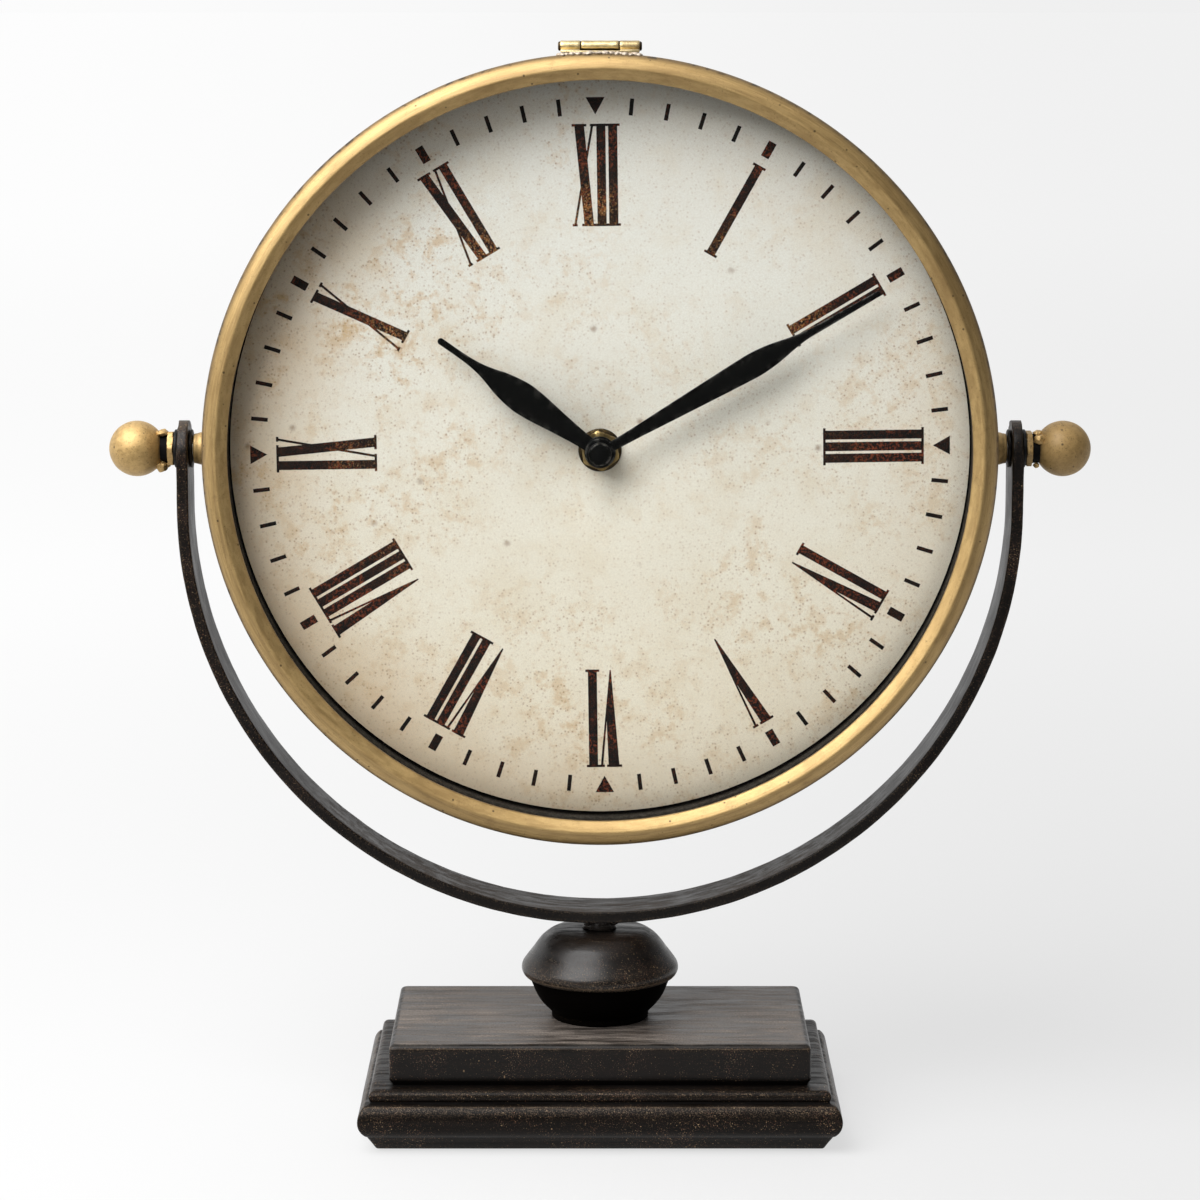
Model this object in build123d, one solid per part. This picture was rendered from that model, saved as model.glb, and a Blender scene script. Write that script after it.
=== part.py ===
from build123d import *
import math
import os

os.makedirs("parts", exist_ok=True)

# ---------------------------------------------------------------------------
# Table clock: a round glazed case that tilts in a bent flat-bar yoke, on a
# turned pedestal and a moulded base.  Millimetres, +Z up, dial facing -Y,
# origin under the middle of the base, on the table.
# ---------------------------------------------------------------------------

# Heights of the stand
PIVOT_Z = 220.0          # pivot axis above the table
PAD_H = 0.8
MOULD_TOP = 20.2
PLINTH_TOP = 33.5
PED_TOP = 62.8

# Base
PLINTH_W, PLINTH_D = 134.4, 73.2
PLINTH_R = 2.0
PAD_R, PAD_X, PAD_Y = 5.0, 60.0, 29.0

# Yoke, bent from flat bar
YOKE_RO = 134.5
YOKE_T = 3.9
YOKE_W = 20.0
YOKE_DROP = 19.1         # straight leg below the pivot axis
YOKE_END = 9.0           # rounded end above the pivot axis
STUD_R = 2.5
STUD_HOLE_R = 2.58

# Case, in its own frame: r from the dial axis, z forward of the pivot axis
DRUM_RO, DRUM_RI = 122.5, 121.3
DRUM_Z0, DRUM_Z1 = -18.0, 16.0
DIAL_R, DIAL_Z0, DIAL_Z1 = 119.2, 1.0, 4.0
SURR_RI = 117.6
BEZ_RO, BEZ_RI = 125.2, 117.0
BEZ_Z0 = 14.3
GLASS_R, GLASS_Z0, GLASS_Z1 = 123.2, 18.2, 20.2
COVER_R, COVER_T = 119.5, 1.2
COVER_CUT = 61.0

# Hinge on top of the case
HINGE_Y, HINGE_Z = 127.2, 12.0
KNUCKLE_R, PIN_R = 1.75, 0.8

# Ball knobs
BALL_X, BALL_R = 147.7, 8.9
NUT_AF, NUT_T = 10.6, 1.8
NECK_R = 4.7

# Movement
MOV = 56.0
MOV_Z1, MOV_SPLIT, MOV_Z0 = 1.0, -6.0, -15.0
MOV_IN = 26.5
FRONT_WALL, REAR_WALL = -0.5, -13.8
BATT_Y, BATT_Z, BATT_R = -19.8, -7.4, 7.1
SPLIT_Y = -11.4          # wall between the wheels and the cell

# Wheel train: teeth and modules
Z_CANNON, Z_MIN, M_MOTION = 12, 36, 0.5
Z_MINPIN, Z_HOUR, M_HOUR = 10, 40, 0.48
Z_SET = 12
Z_CENTRE, Z_INTPIN, M_GOING = 60, 10, 0.35
Z_INT, Z_ROTOR, M_ROTOR = 40, 8, 0.35

# Hands, clockwise from twelve
MINUTE_DEG, HOUR_DEG = 60.0, 305.0

CASE = Pos(0, 0, PIVOT_Z) * Rot(90, 0, 0)


def save(name, shape):
    export_step(shape, "parts/" + name + ".step")


def disc(r, z0, z1, x=0.0, y=0.0):
    return Pos(x, y, (z0 + z1) / 2) * Cylinder(r, z1 - z0)


def ring(ro, ri, z0, z1, x=0.0, y=0.0):
    return disc(ro, z0, z1, x, y) - disc(ri, z0 - 1, z1 + 1, x, y)


def block(x0, x1, y0, y1, z0, z1):
    return Pos((x0 + x1) / 2, (y0 + y1) / 2, (z0 + z1) / 2) * Box(x1 - x0, y1 - y0, z1 - z0)


def rod_x(r, x0, x1, y=0.0, z=0.0):
    return Pos((x0 + x1) / 2, y, z) * Rot(0, 90, 0) * Cylinder(r, x1 - x0)


def turned(edges):
    face = make_face(edges)
    return revolve(Plane.XZ * face, Axis.Z)


def polar(deg, r):
    a = math.radians(deg)
    return r * math.sin(a), r * math.cos(a)


# --------------------------------------------------------------------- stand

def mould_profile(half):
    h = half
    right = [
        ((h + 4.0, PAD_H), (h + 7.0, 5.5)),
        ((h + 7.0, 5.5), (h + 7.6, 5.8)),
    ]
    edges = [Line((0, PAD_H), (h + 4.0, PAD_H))]
    edges += [Line(a, b) for a, b in right]
    edges += [ThreePointArc((h + 7.6, 5.8), (h + 9.75, 10.7), (h + 7.6, 15.6))]
    edges += [Line((h + 7.6, 15.6), (h + 6.2, 16.0))]
    edges += [ThreePointArc((h + 6.2, 16.0), (h + 5.75, 16.6), (h + 6.1, 17.2))]
    edges += [ThreePointArc((h + 6.1, 17.2), (h + 5.9, 19.2), (h + 4.4, MOULD_TOP))]
    edges += [Line((h + 4.4, MOULD_TOP), (0, MOULD_TOP))]
    edges += [Line((0, MOULD_TOP), (0, PAD_H))]
    return make_face(edges)


px = mould_profile(PLINTH_W / 2)
py = mould_profile(PLINTH_D / 2)
half_x = extrude(Plane.XZ * px, 60, both=True)
along_y = half_x + mirror(half_x, Plane.YZ)
half_y = extrude(Plane.YZ * py, 90, both=True)
along_x = half_y + mirror(half_y, Plane.XZ)
moulding = along_y & along_x
moulding -= disc(8.6, PAD_H - 1, 9.2)
moulding -= disc(3.3, 0, MOULD_TOP + 1)
for sx in (-45, 45):
    moulding -= disc(4.5, PAD_H - 1, 6.0, sx, 0)
    moulding -= disc(2.1, 0, MOULD_TOP + 1, sx, 0)
save("base_moulding", moulding)

plinth = block(-PLINTH_W / 2, PLINTH_W / 2, -PLINTH_D / 2, PLINTH_D / 2, MOULD_TOP, PLINTH_TOP)
plinth = fillet(plinth.edges().filter_by(Axis.Z), 1.2)
plinth = fillet(plinth.faces().sort_by(Axis.Z)[-1].edges(), PLINTH_R)
plinth -= disc(3.3, MOULD_TOP - 1, PLINTH_TOP + 1)
for sx in (-45, 45):
    plinth -= disc(2.0, MOULD_TOP - 1, 28.5, sx, 0)
save("plinth", plinth)

pads = [disc(PAD_R, 0, PAD_H, sx * PAD_X, sy * PAD_Y) for sx in (-1, 1) for sy in (-1, 1)]
save("base_pads", Compound(children=pads))

screws = []
for sx in (-45, 45):
    screws.append(disc(4.0, 3.6, 6.0, sx, 0) + disc(2.0, 6.0, 28.0, sx, 0))
save("plinth_screws", Compound(children=screws))

pedestal = turned([
    Line((3.3, PLINTH_TOP), (15.8, PLINTH_TOP)),
    Line((15.8, PLINTH_TOP), (15.9, 35.4)),
    Spline((15.9, 35.4), (17.3, 36.9), (19.2, 38.9), (20.9, 41.5), (22.2, 44.6), (23.0, 46.9)),
    Line((23.0, 46.9), (24.6, 47.7)),
    Spline((24.6, 47.7), (25.6, 49.8), (24.9, 51.9), (21.9, 55.9), (18.9, 59.8), (15.2, 62.2), (10.6, PED_TOP),
           tangents=((0.6, 1), (-1, 0))),
    Line((10.6, PED_TOP), (3.3, PED_TOP)),
    Line((3.3, PED_TOP), (3.3, PLINTH_TOP)),
])
save("pedestal", pedestal)

bolt_head = Pos(0, 0, 3.4) * extrude(RegularPolygon(5.6, 6), 4.6)
centre_bolt = bolt_head + disc(3.0, 8.0, 66.0)
save("centre_bolt", centre_bolt)
save("centre_bolt_washer", ring(7.8, 3.3, 8.0, 9.2))

bend_z = PIVOT_Z - YOKE_DROP
bend = Rot(90, 0, 0) * (Cylinder(YOKE_RO, YOKE_W) - Cylinder(YOKE_RO - YOKE_T, YOKE_W + 2))
bend = Pos(0, 0, bend_z) * bend
bend &= block(-200, 200, -50, 50, bend_z - 200, bend_z)
end_c = PIVOT_Z + YOKE_END - YOKE_W / 2
yoke = bend
for s in (-1, 1):
    x0, x1 = sorted((s * (YOKE_RO - YOKE_T), s * YOKE_RO))
    leg = block(x0, x1, -YOKE_W / 2, YOKE_W / 2, bend_z, end_c) + rod_x(YOKE_W / 2, x0, x1, 0, end_c)
    leg -= rod_x(STUD_HOLE_R, x0 - 1, x1 + 1, 0, PIVOT_Z)
    yoke = yoke + leg
save("yoke", yoke)

boss = disc(5.4, PED_TOP, 68.0) - Pos(0, 0, bend_z) * Rot(90, 0, 0) * Cylinder(YOKE_RO, 40)
boss -= disc(3.02, PED_TOP - 1, 66.2)
save("yoke_boss", boss)

washers = []
for s in (-1, 1):
    for a, b in ((YOKE_RO - YOKE_T - 0.7, YOKE_RO - YOKE_T), (YOKE_RO, YOKE_RO + 1.1)):
        x0, x1 = sorted((s * a, s * b))
        washers.append(rod_x(6.1, x0, x1, 0, PIVOT_Z) - rod_x(2.8, x0 - 1, x1 + 1, 0, PIVOT_Z))
save("pivot_washers", Compound(children=washers))

# -------------------------------------------------------------------- pivots

drum_out = Pos(0, 0, PIVOT_Z) * Rot(90, 0, 0) * Cylinder(DRUM_RO, 120)
drum_in = Pos(0, 0, PIVOT_Z) * Rot(90, 0, 0) * Cylinder(DRUM_RI, 120)
for side, s in (("left", -1), ("right", 1)):
    def rx(r, a, b):
        x0, x1 = sorted((s * a, s * b))
        return rod_x(r, x0, x1, 0, PIVOT_Z)

    head = rx(5.0, 119.7, 124.0) & drum_in
    save("trunnion_" + side, head + rx(STUD_R, 119.8, 144.0))

    cone = Pos(s * 125.7, 0, PIVOT_Z) * Rot(0, s * 90, 0) * Cone(6.4, 4.7, 7.8)
    sleeve = cone - drum_out - rx(2.55, 110, 140)
    save("sleeve_" + side, sleeve)

    nut = Pos(s * 135.9, 0, PIVOT_Z) * Rot(0, s * 90, 0) * extrude(RegularPolygon(NUT_AF / 2 / math.cos(math.pi / 6), 6), NUT_T)
    ball = Pos(s * BALL_X, 0, PIVOT_Z) * Sphere(BALL_R)
    knob = nut + rx(NECK_R, 136.5, 142.0) + ball - rx(2.55, 130, 145.0)
    save("knob_" + side, knob)

# ---------------------------------------------------------------------- case

drum = ring(DRUM_RO, DRUM_RI, DRUM_Z0, DRUM_Z1) + ring(DRUM_RI + 0.5, 112.0, DRUM_Z0, DRUM_Z0 + COVER_T)
for s in (-1, 1):
    x0, x1 = sorted((s * 110, s * 130))
    drum -= rod_x(2.55, x0, x1)
SCREW_POS = [polar(a, 116.0) for a in (45, 135, 225, 315)]
for x, y in SCREW_POS:
    drum -= disc(1.3, -20, -15, x, y)
save("case_drum", CASE * drum)

cover = disc(COVER_R, DRUM_Z0 - COVER_T, DRUM_Z0)
cut = extrude(RectangleRounded(COVER_CUT, COVER_CUT, 4), 6)
cover -= Pos(0, 0, DRUM_Z0 - 3) * cut
for x, y in SCREW_POS:
    cover -= disc(1.3, -22, -15, x, y)
save("rear_cover", CASE * cover)

rear_screws = []
for x, y in SCREW_POS:
    head = disc(2.7, -20.7, -19.2, x, y) - block(x - 0.35, x + 0.35, y - 3, y + 3, -21, -20.1)
    rear_screws.append(CASE * (head + disc(1.3, -19.2, -15.4, x, y)))
save("rear_screws", Compound(children=rear_screws))

dial = disc(DIAL_R, DIAL_Z0, DIAL_Z1) - disc(4.2, 0, 5)
BRACKETS = (45, 135, 225, 315)
for a in BRACKETS:
    x, y = polar(a, 112.0)
    dial -= disc(1.2, 0.5, 3.2, x, y)
save("dial_plate", CASE * dial)

surround = ring(119.3, SURR_RI, DIAL_Z1, 13.6) + ring(DRUM_RI, SURR_RI, 12.6, 13.6)
save("dial_surround", CASE * surround)

brackets, dial_screws = [], []
for a in BRACKETS:
    b = block(-6, 6, 107.5, 121.2, 0, 1.0) + block(-6, 6, 119.6, 124, -9, 1.0)
    b &= disc(DRUM_RI, -20, 5)
    b -= disc(1.2, -2, 3, 0, 112.0)
    brackets.append(CASE * (Rot(0, 0, -a) * b))
    s = disc(2.3, -1.5, 0, 0, 112.0) + disc(1.2, 0, 3.1, 0, 112.0)
    dial_screws.append(CASE * (Rot(0, 0, -a) * s))
save("dial_brackets", Compound(children=brackets))
save("dial_screws", Compound(children=dial_screws))

# ---------------------------------------------------------------------- door

bezel = turned([
    Line((123.7, BEZ_Z0), (124.9, BEZ_Z0)),
    Line((124.9, BEZ_Z0), (BEZ_RO, 18.0)),
    Line((BEZ_RO, 18.0), (BEZ_RO, 19.4)),
    Spline((BEZ_RO, 19.4), (124.85, 20.55), (123.95, 21.7), (122.7, 22.65), (121.5, 23.25), (120.2, 23.55),
           tangents=((0, 1), (-1, 0))),
    Spline((120.2, 23.55), (119.3, 23.35), (118.5, 22.97), (117.75, 22.65), (117.2, 22.36), (BEZ_RI, 21.7),
           tangents=((-1, 0), (0, -1))),
    Line((BEZ_RI, 21.7), (BEZ_RI, GLASS_Z1)),
    Line((BEZ_RI, GLASS_Z1), (123.7, GLASS_Z1)),
    Line((123.7, GLASS_Z1), (123.7, BEZ_Z0)),
])
save("bezel", CASE * bezel)
save("glass", CASE * disc(GLASS_R, GLASS_Z0, GLASS_Z1))
save("glass_retainer", CASE * ring(123.6, 119.6, 16.4, GLASS_Z0))

HX = 12.3                # half length of the barrel
CX = 5.8                 # half length of the middle knuckle
door_leaf = block(-HX, HX, 123.5, 126.2, HINGE_Z, 19.4)
door_leaf -= disc(BEZ_RO, 0, 40)
door_leaf -= bezel
door_leaf -= block(-CX - 0.35, CX + 0.35, 120, 130, 0, HINGE_Z + 2.15)
for s in (-1, 1):
    x0, x1 = sorted((s * (CX + 0.35), s * HX))
    door_leaf += rod_x(KNUCKLE_R, x0, x1, HINGE_Y, HINGE_Z)
door_leaf -= rod_x(PIN_R, -20, 20, HINGE_Y, HINGE_Z)
save("door_hinge_leaf", CASE * door_leaf)

case_leaf = block(-CX, CX, 121.0, 123.6, 2.0, HINGE_Z) - disc(DRUM_RO, -5, 40)
case_leaf += block(-CX, CX, 123.0, 127.0, HINGE_Z - 1.6, HINGE_Z - 0.2)
case_leaf += rod_x(KNUCKLE_R, -CX, CX, HINGE_Y, HINGE_Z)
case_leaf -= rod_x(PIN_R + 0.06, -20, 20, HINGE_Y, HINGE_Z)
save("case_hinge_leaf", CASE * case_leaf)

pin = rod_x(PIN_R, -HX - 0.7, HX + 0.7, HINGE_Y, HINGE_Z)
for s in (-1, 1):
    x0, x1 = sorted((s * HX, s * (HX + 0.8)))
    pin += rod_x(1.45, x0, x1, HINGE_Y, HINGE_Z)
save("hinge_pin", CASE * pin)

# ------------------------------------------------------------------ movement

def toothed(z, m, z0, z1, phase=0.0, x=0.0, y=0.0, thin=0.14, add=0.75, ded=1.2):
    """Spur wheel with thinned involute teeth; one tooth at 'phase' degrees clockwise from +y."""
    r = m * z / 2
    pa = math.radians(20)
    rb, ra, rf = r * math.cos(pa), r + add * m, r - ded * m

    def inv(a):
        return math.tan(a) - a

    half = math.pi / (2 * z) - thin / (2 * r)
    r0 = max(rf, rb)
    flank = []
    for i in range(3):
        rr = r0 + (ra - r0) * i / 2
        flank.append((rr, max(half + inv(pa) - inv(math.acos(min(1, rb / rr))), 0.004)))
    if rf < rb:
        flank = [(rf, flank[0][1])] + flank
    pts = []
    for k in range(z):
        c = math.radians(phase) + 2 * math.pi * k / z
        for rr, th in flank:
            pts.append((rr * math.sin(c - th), rr * math.cos(c - th)))
        for rr, th in flank[::-1]:
            pts.append((rr * math.sin(c + th), rr * math.cos(c + th)))
    face = make_face(Polyline(*pts, close=True))
    return Pos(x, y, z0) * extrude(face, z1 - z0)


def heading(p, q):
    return math.degrees(math.atan2(q[0] - p[0], q[1] - p[1]))


def meshed(p, za, phase_a, q, zb):
    """Phase of wheel b at q, so that it meshes with wheel a at p."""
    a = heading(p, q)
    pitch = 360.0 / za
    off = (phase_a - a + pitch / 2) % pitch - pitch / 2
    return a + 180.0 - off * za / zb + 180.0 / zb


C0 = (0.0, 0.0)
C_MIN = polar(-80.0, M_MOTION * (Z_CANNON + Z_MIN) / 2)
d = polar(-30.0, M_MOTION * (Z_SET + Z_MIN) / 2)
C_SET = (C_MIN[0] + d[0], C_MIN[1] + d[1])
C_INT = polar(60.0, M_GOING * (Z_CENTRE + Z_INTPIN) / 2)
C_ROT = (C_INT[0] + M_ROTOR * (Z_INT + Z_ROTOR) / 2, C_INT[1])

PH_CANNON = 0.0
PH_MIN = meshed(C0, Z_CANNON, PH_CANNON, C_MIN, Z_MIN)
PH_SET = meshed(C_MIN, Z_MIN, PH_MIN, C_SET, Z_SET)
PH_HOUR = 0.0
PH_MINPIN = meshed(C0, Z_HOUR, PH_HOUR, C_MIN, Z_MINPIN)
PH_CENTRE = 0.0
PH_INTPIN = meshed(C0, Z_CENTRE, PH_CENTRE, C_INT, Z_INTPIN)
PH_INT = 0.0
PH_ROTOR = meshed(C_INT, Z_INT, PH_INT, C_ROT, Z_ROTOR)

# moulded case of the movement
h = MOV / 2
front = block(-h, h, -h, h, MOV_SPLIT, MOV_Z1)
front = fillet(front.edges().filter_by(Axis.Z), 3)
front -= block(-MOV_IN, MOV_IN, SPLIT_Y, MOV_IN, MOV_SPLIT - 1, FRONT_WALL)
front -= block(-MOV_IN, MOV_IN, -27.2, SPLIT_Y - 1.0, MOV_SPLIT - 1, -0.1)
front -= disc(3.9, -2, 3)
for c, r in ((C_MIN, 0.66), (C_SET, 0.66), (C_INT, 0.66), (C_ROT, 0.56)):
    front -= disc(r, FRONT_WALL - 1, 0.5, c[0], c[1])
BOARD_POSTS = ((-23.5, 18.0), (-7.5, 24.0))
STATOR_POSTS = ((5.0, 20.0), (24.0, 17.0))
for x, y in BOARD_POSTS:
    front += disc(1.2, -8.0, FRONT_WALL + 0.2, x, y)
for x, y in STATOR_POSTS:
    front += disc(1.1, -8.9, FRONT_WALL + 0.2, x, y)
save("movement_front_case", CASE * front)

rear = block(-h, h, -h, h, MOV_Z0, MOV_SPLIT)
rear = fillet(rear.edges().filter_by(Axis.Z), 3)
rear -= block(-MOV_IN, MOV_IN, SPLIT_Y, MOV_IN, REAR_WALL, MOV_SPLIT + 1)
rear -= block(-MOV_IN, MOV_IN, -27.2, SPLIT_Y - 1.0, MOV_Z0 - 1, MOV_SPLIT + 1)
rear -= disc(1.06, MOV_Z0 - 1, MOV_Z0 + 3, C_SET[0], C_SET[1])
rear -= disc(1.06, -14.5, REAR_WALL + 1)
rear -= disc(0.66, -14.5, REAR_WALL + 1, C_INT[0], C_INT[1])
rear -= disc(0.56, -14.5, REAR_WALL + 1, C_ROT[0], C_ROT[1])
post = disc(0.95, REAR_WALL - 0.2, -4.6, C_MIN[0], C_MIN[1])
rear += post
rear -= disc(0.56, -6.2, -4, C_MIN[0], C_MIN[1])
save("movement_rear_case", CASE * rear)

save("shaft_bush", CASE * ring(3.9, 2.63, FRONT_WALL, 8.2))
save("dial_washer", CASE * ring(6.9, 4.0, DIAL_Z1, DIAL_Z1 + 0.6))
hexnut = Pos(0, 0, DIAL_Z1 + 0.6) * extrude(RegularPolygon(6.6, 6), 2.6)
hexnut &= disc(6.35, 0, 20)
save("dial_nut", CASE * (hexnut - disc(3.9, 0, 20)))

# motor, board, cell
save("circuit_board", CASE * (block(-25.5, -5.5, 15.6, 25.8, -9.0, -8.0) + disc(2.6, -9.8, -8.9, -11.0, 20.0)))
save("crystal", CASE * rod_x(1.0, -23.0, -17.0, 21.5, -10.0))
SZ0, SZ1 = -9.9, -8.9
stator = disc(4.8, SZ0, SZ1, C_ROT[0], C_ROT[1])
stator += block(3.8, 6.2, 8.4, 21.2, SZ0, SZ1)
stator += block(3.8, C_ROT[0] - 2.0, 8.4, 10.4, SZ0, SZ1)
stator += block(C_ROT[0] + 2.2, 25.4, 5.0, 8.0, SZ0, SZ1)
stator += block(22.9, 25.4, 5.0, 21.2, SZ0, SZ1)
stator += block(3.8, 25.4, 18.8, 21.2, SZ0, SZ1)
stator -= disc(2.9, SZ0 - 1, SZ1 + 1, C_ROT[0], C_ROT[1])
save("stator", CASE * stator)
coil = rod_x(2.7, 7.4, 21.4, 20.0, -9.4) + rod_x(3.1, 6.6, 7.4, 20.0, -9.4) + rod_x(3.1, 21.4, 22.2, 20.0, -9.4)
coil -= block(0, 30, 18.8, 21.2, SZ0, SZ1)
save("coil", CASE * coil)
save("battery", CASE * (rod_x(BATT_R, -24.9, 24.2, BATT_Y, BATT_Z) + rod_x(2.6, 24.0, 25.4, BATT_Y, BATT_Z)))
save("contact_positive", CASE * (block(25.4, 25.8, BATT_Y - 5, BATT_Y + 5, -12.0, -3.0)
                                 + block(25.4, 26.5, BATT_Y - 5, BATT_Y - 2, -3.4, -3.0)))
spring = Pos(-25.65, BATT_Y, BATT_Z) * Rot(0, 90, 0) * Cone(4.0, 2.2, 1.5)
save("contact_negative", CASE * (block(-26.5, -26.1, BATT_Y - 5, BATT_Y + 5, -12.0, -3.0)
                                 + (spring & block(-26.2, -24.9, -40, 0, -20, 5))))

# wheels
centre = disc(1.6, -6.6, 15.6) + disc(1.0, -14.3, -6.6)
centre += toothed(Z_CANNON, M_MOTION, -4.2, -2.4, PH_CANNON)
centre += toothed(Z_CENTRE, M_GOING, -5.9, -5.1, PH_CENTRE)
save("centre_wheel", CASE * centre)

hour = toothed(Z_HOUR, M_HOUR, -1.8, -0.9, PH_HOUR) + disc(2.55, -1.8, 11.0)
hour -= disc(1.66, -5, 20)
save("hour_wheel", CASE * hour)

minute = toothed(Z_MIN, M_MOTION, -3.7, -2.7, PH_MIN, *C_MIN)
minute += toothed(Z_MINPIN, M_HOUR, -3.0, -0.8, PH_MINPIN, *C_MIN)
minute += disc(0.6, -1.0, 0.3, *C_MIN) + disc(0.5, -6.0, -3.5, *C_MIN)
save("minute_wheel", CASE * minute)

inter = toothed(Z_INTPIN, M_GOING, -7.4, -4.6, PH_INTPIN, *C_INT)
inter += toothed(Z_INT, M_ROTOR, -8.1, -7.3, PH_INT, *C_INT)
inter += disc(0.6, -4.8, 0.3, *C_INT) + disc(0.6, -14.3, -7.8, *C_INT)
save("intermediate_wheel", CASE * inter)

rotor = toothed(Z_ROTOR, M_ROTOR, -8.6, -6.6, PH_ROTOR, *C_ROT)
rotor += disc(2.3, -10.9, -8.6, *C_ROT)
rotor += disc(0.5, -6.8, 0.3, *C_ROT) + disc(0.5, -14.3, -10.8, *C_ROT)
save("rotor", CASE * rotor)

setk = toothed(Z_SET, M_MOTION, -4.2, -2.4, PH_SET, *C_SET)
setk += disc(0.6, -2.6, 0.3, *C_SET) + disc(1.0, -15.6, -4.0, *C_SET)
knurl = disc(4.2, -19.6, -15.4, *C_SET)
for k in range(24):
    x, y = polar(k * 15.0, 4.35)
    knurl -= disc(0.35, -20, -15, C_SET[0] + x, C_SET[1] + y)
save("setting_knob", CASE * (setk + knurl))

# --------------------------------------------------------------------- hands

def hand(stations, tip, z0, z1, hub_r, bore_r, deg):
    """Flat hand pointing to +y: (distance, width) stations and a round tip."""
    right = [(w / 2, s) for s, w in stations]
    left = [(-x, y) for x, y in right][::-1]
    tw = stations[-1][1] / 2
    edges = [
        Spline(*right),
        ThreePointArc(right[-1], (0, tip), left[0]),
        Spline(*left),
        Line(left[-1], right[0]),
    ]
    blade = Pos(0, 0, z0) * extrude(make_face(edges), z1 - z0)
    body = blade + disc(hub_r, z0, z1) - disc(bore_r, z0 - 5, z1 + 5)
    return Rot(0, 0, -deg) * body


hour_stations = [(1.0, 4.4), (7.5, 5.0), (11.9, 6.0), (16.4, 7.1), (20.9, 8.4), (25.4, 9.5), (29.8, 10.0), (33.2, 9.4),
                 (36.5, 8.3), (39.0, 7.2), (41.2, 5.8), (43.4, 4.6), (46.0, 3.4), (50.0, 2.4), (55.0, 2.05), (61.2, 2.1)]
minute_stations = [(1.0, 2.9), (12.2, 3.6), (23.1, 4.75), (34.1, 5.85), (45.0, 6.95), (52.3, 7.6), (56.2, 7.8), (59.6, 7.4),
                   (63.3, 6.5), (67.0, 5.1), (70.6, 3.7), (74.2, 2.7), (78.5, 2.2), (86.0, 1.95), (94.0, 1.8), (100.6, 1.7)]
hh = hand(hour_stations, 62.2, 9.4, 10.1, 5.0, 2.55, HOUR_DEG) + ring(3.3, 2.55, 8.6, 9.5)
save("hour_hand", CASE * hh)
mh = hand(minute_stations, 101.4, 12.6, 13.2, 4.7, 1.6, MINUTE_DEG) + ring(2.6, 1.6, 11.6, 12.7)
save("minute_hand", CASE * mh)

cap = turned([
    Line((0, 13.2), (3.6, 13.2)),
    Line((3.6, 13.2), (3.6, 16.0)),
    ThreePointArc((3.6, 16.0), (3.4, 16.6), (2.8, 16.85)),
    Line((2.8, 16.85), (0, 17.0)),
    Line((0, 17.0), (0, 13.2)),
]) - disc(1.6, 10, 15.6)
save("hand_cap_nut", CASE * cap)
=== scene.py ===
import bpy
import bmesh
import math
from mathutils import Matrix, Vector, noise
from mathutils.geometry import delaunay_2d_cdt


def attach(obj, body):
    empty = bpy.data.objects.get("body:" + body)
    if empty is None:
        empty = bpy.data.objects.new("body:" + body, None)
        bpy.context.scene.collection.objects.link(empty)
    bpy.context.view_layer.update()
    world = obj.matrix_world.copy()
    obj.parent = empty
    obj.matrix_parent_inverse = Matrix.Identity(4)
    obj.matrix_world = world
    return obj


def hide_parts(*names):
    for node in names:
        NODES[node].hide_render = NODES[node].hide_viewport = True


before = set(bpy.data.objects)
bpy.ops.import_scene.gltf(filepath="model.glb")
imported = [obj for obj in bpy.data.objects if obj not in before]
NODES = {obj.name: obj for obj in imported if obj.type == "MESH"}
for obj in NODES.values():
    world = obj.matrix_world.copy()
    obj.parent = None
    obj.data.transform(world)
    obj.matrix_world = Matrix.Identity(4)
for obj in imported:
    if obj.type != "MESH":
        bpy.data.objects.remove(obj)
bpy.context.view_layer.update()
scene = bpy.context.scene
scene.view_settings.view_transform = "Standard"
scene.view_settings.look = "None"

MM = 0.001
PIVOT = 220.0


# ----------------------------------------------------------------------------
# node helpers
# ----------------------------------------------------------------------------

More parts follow.
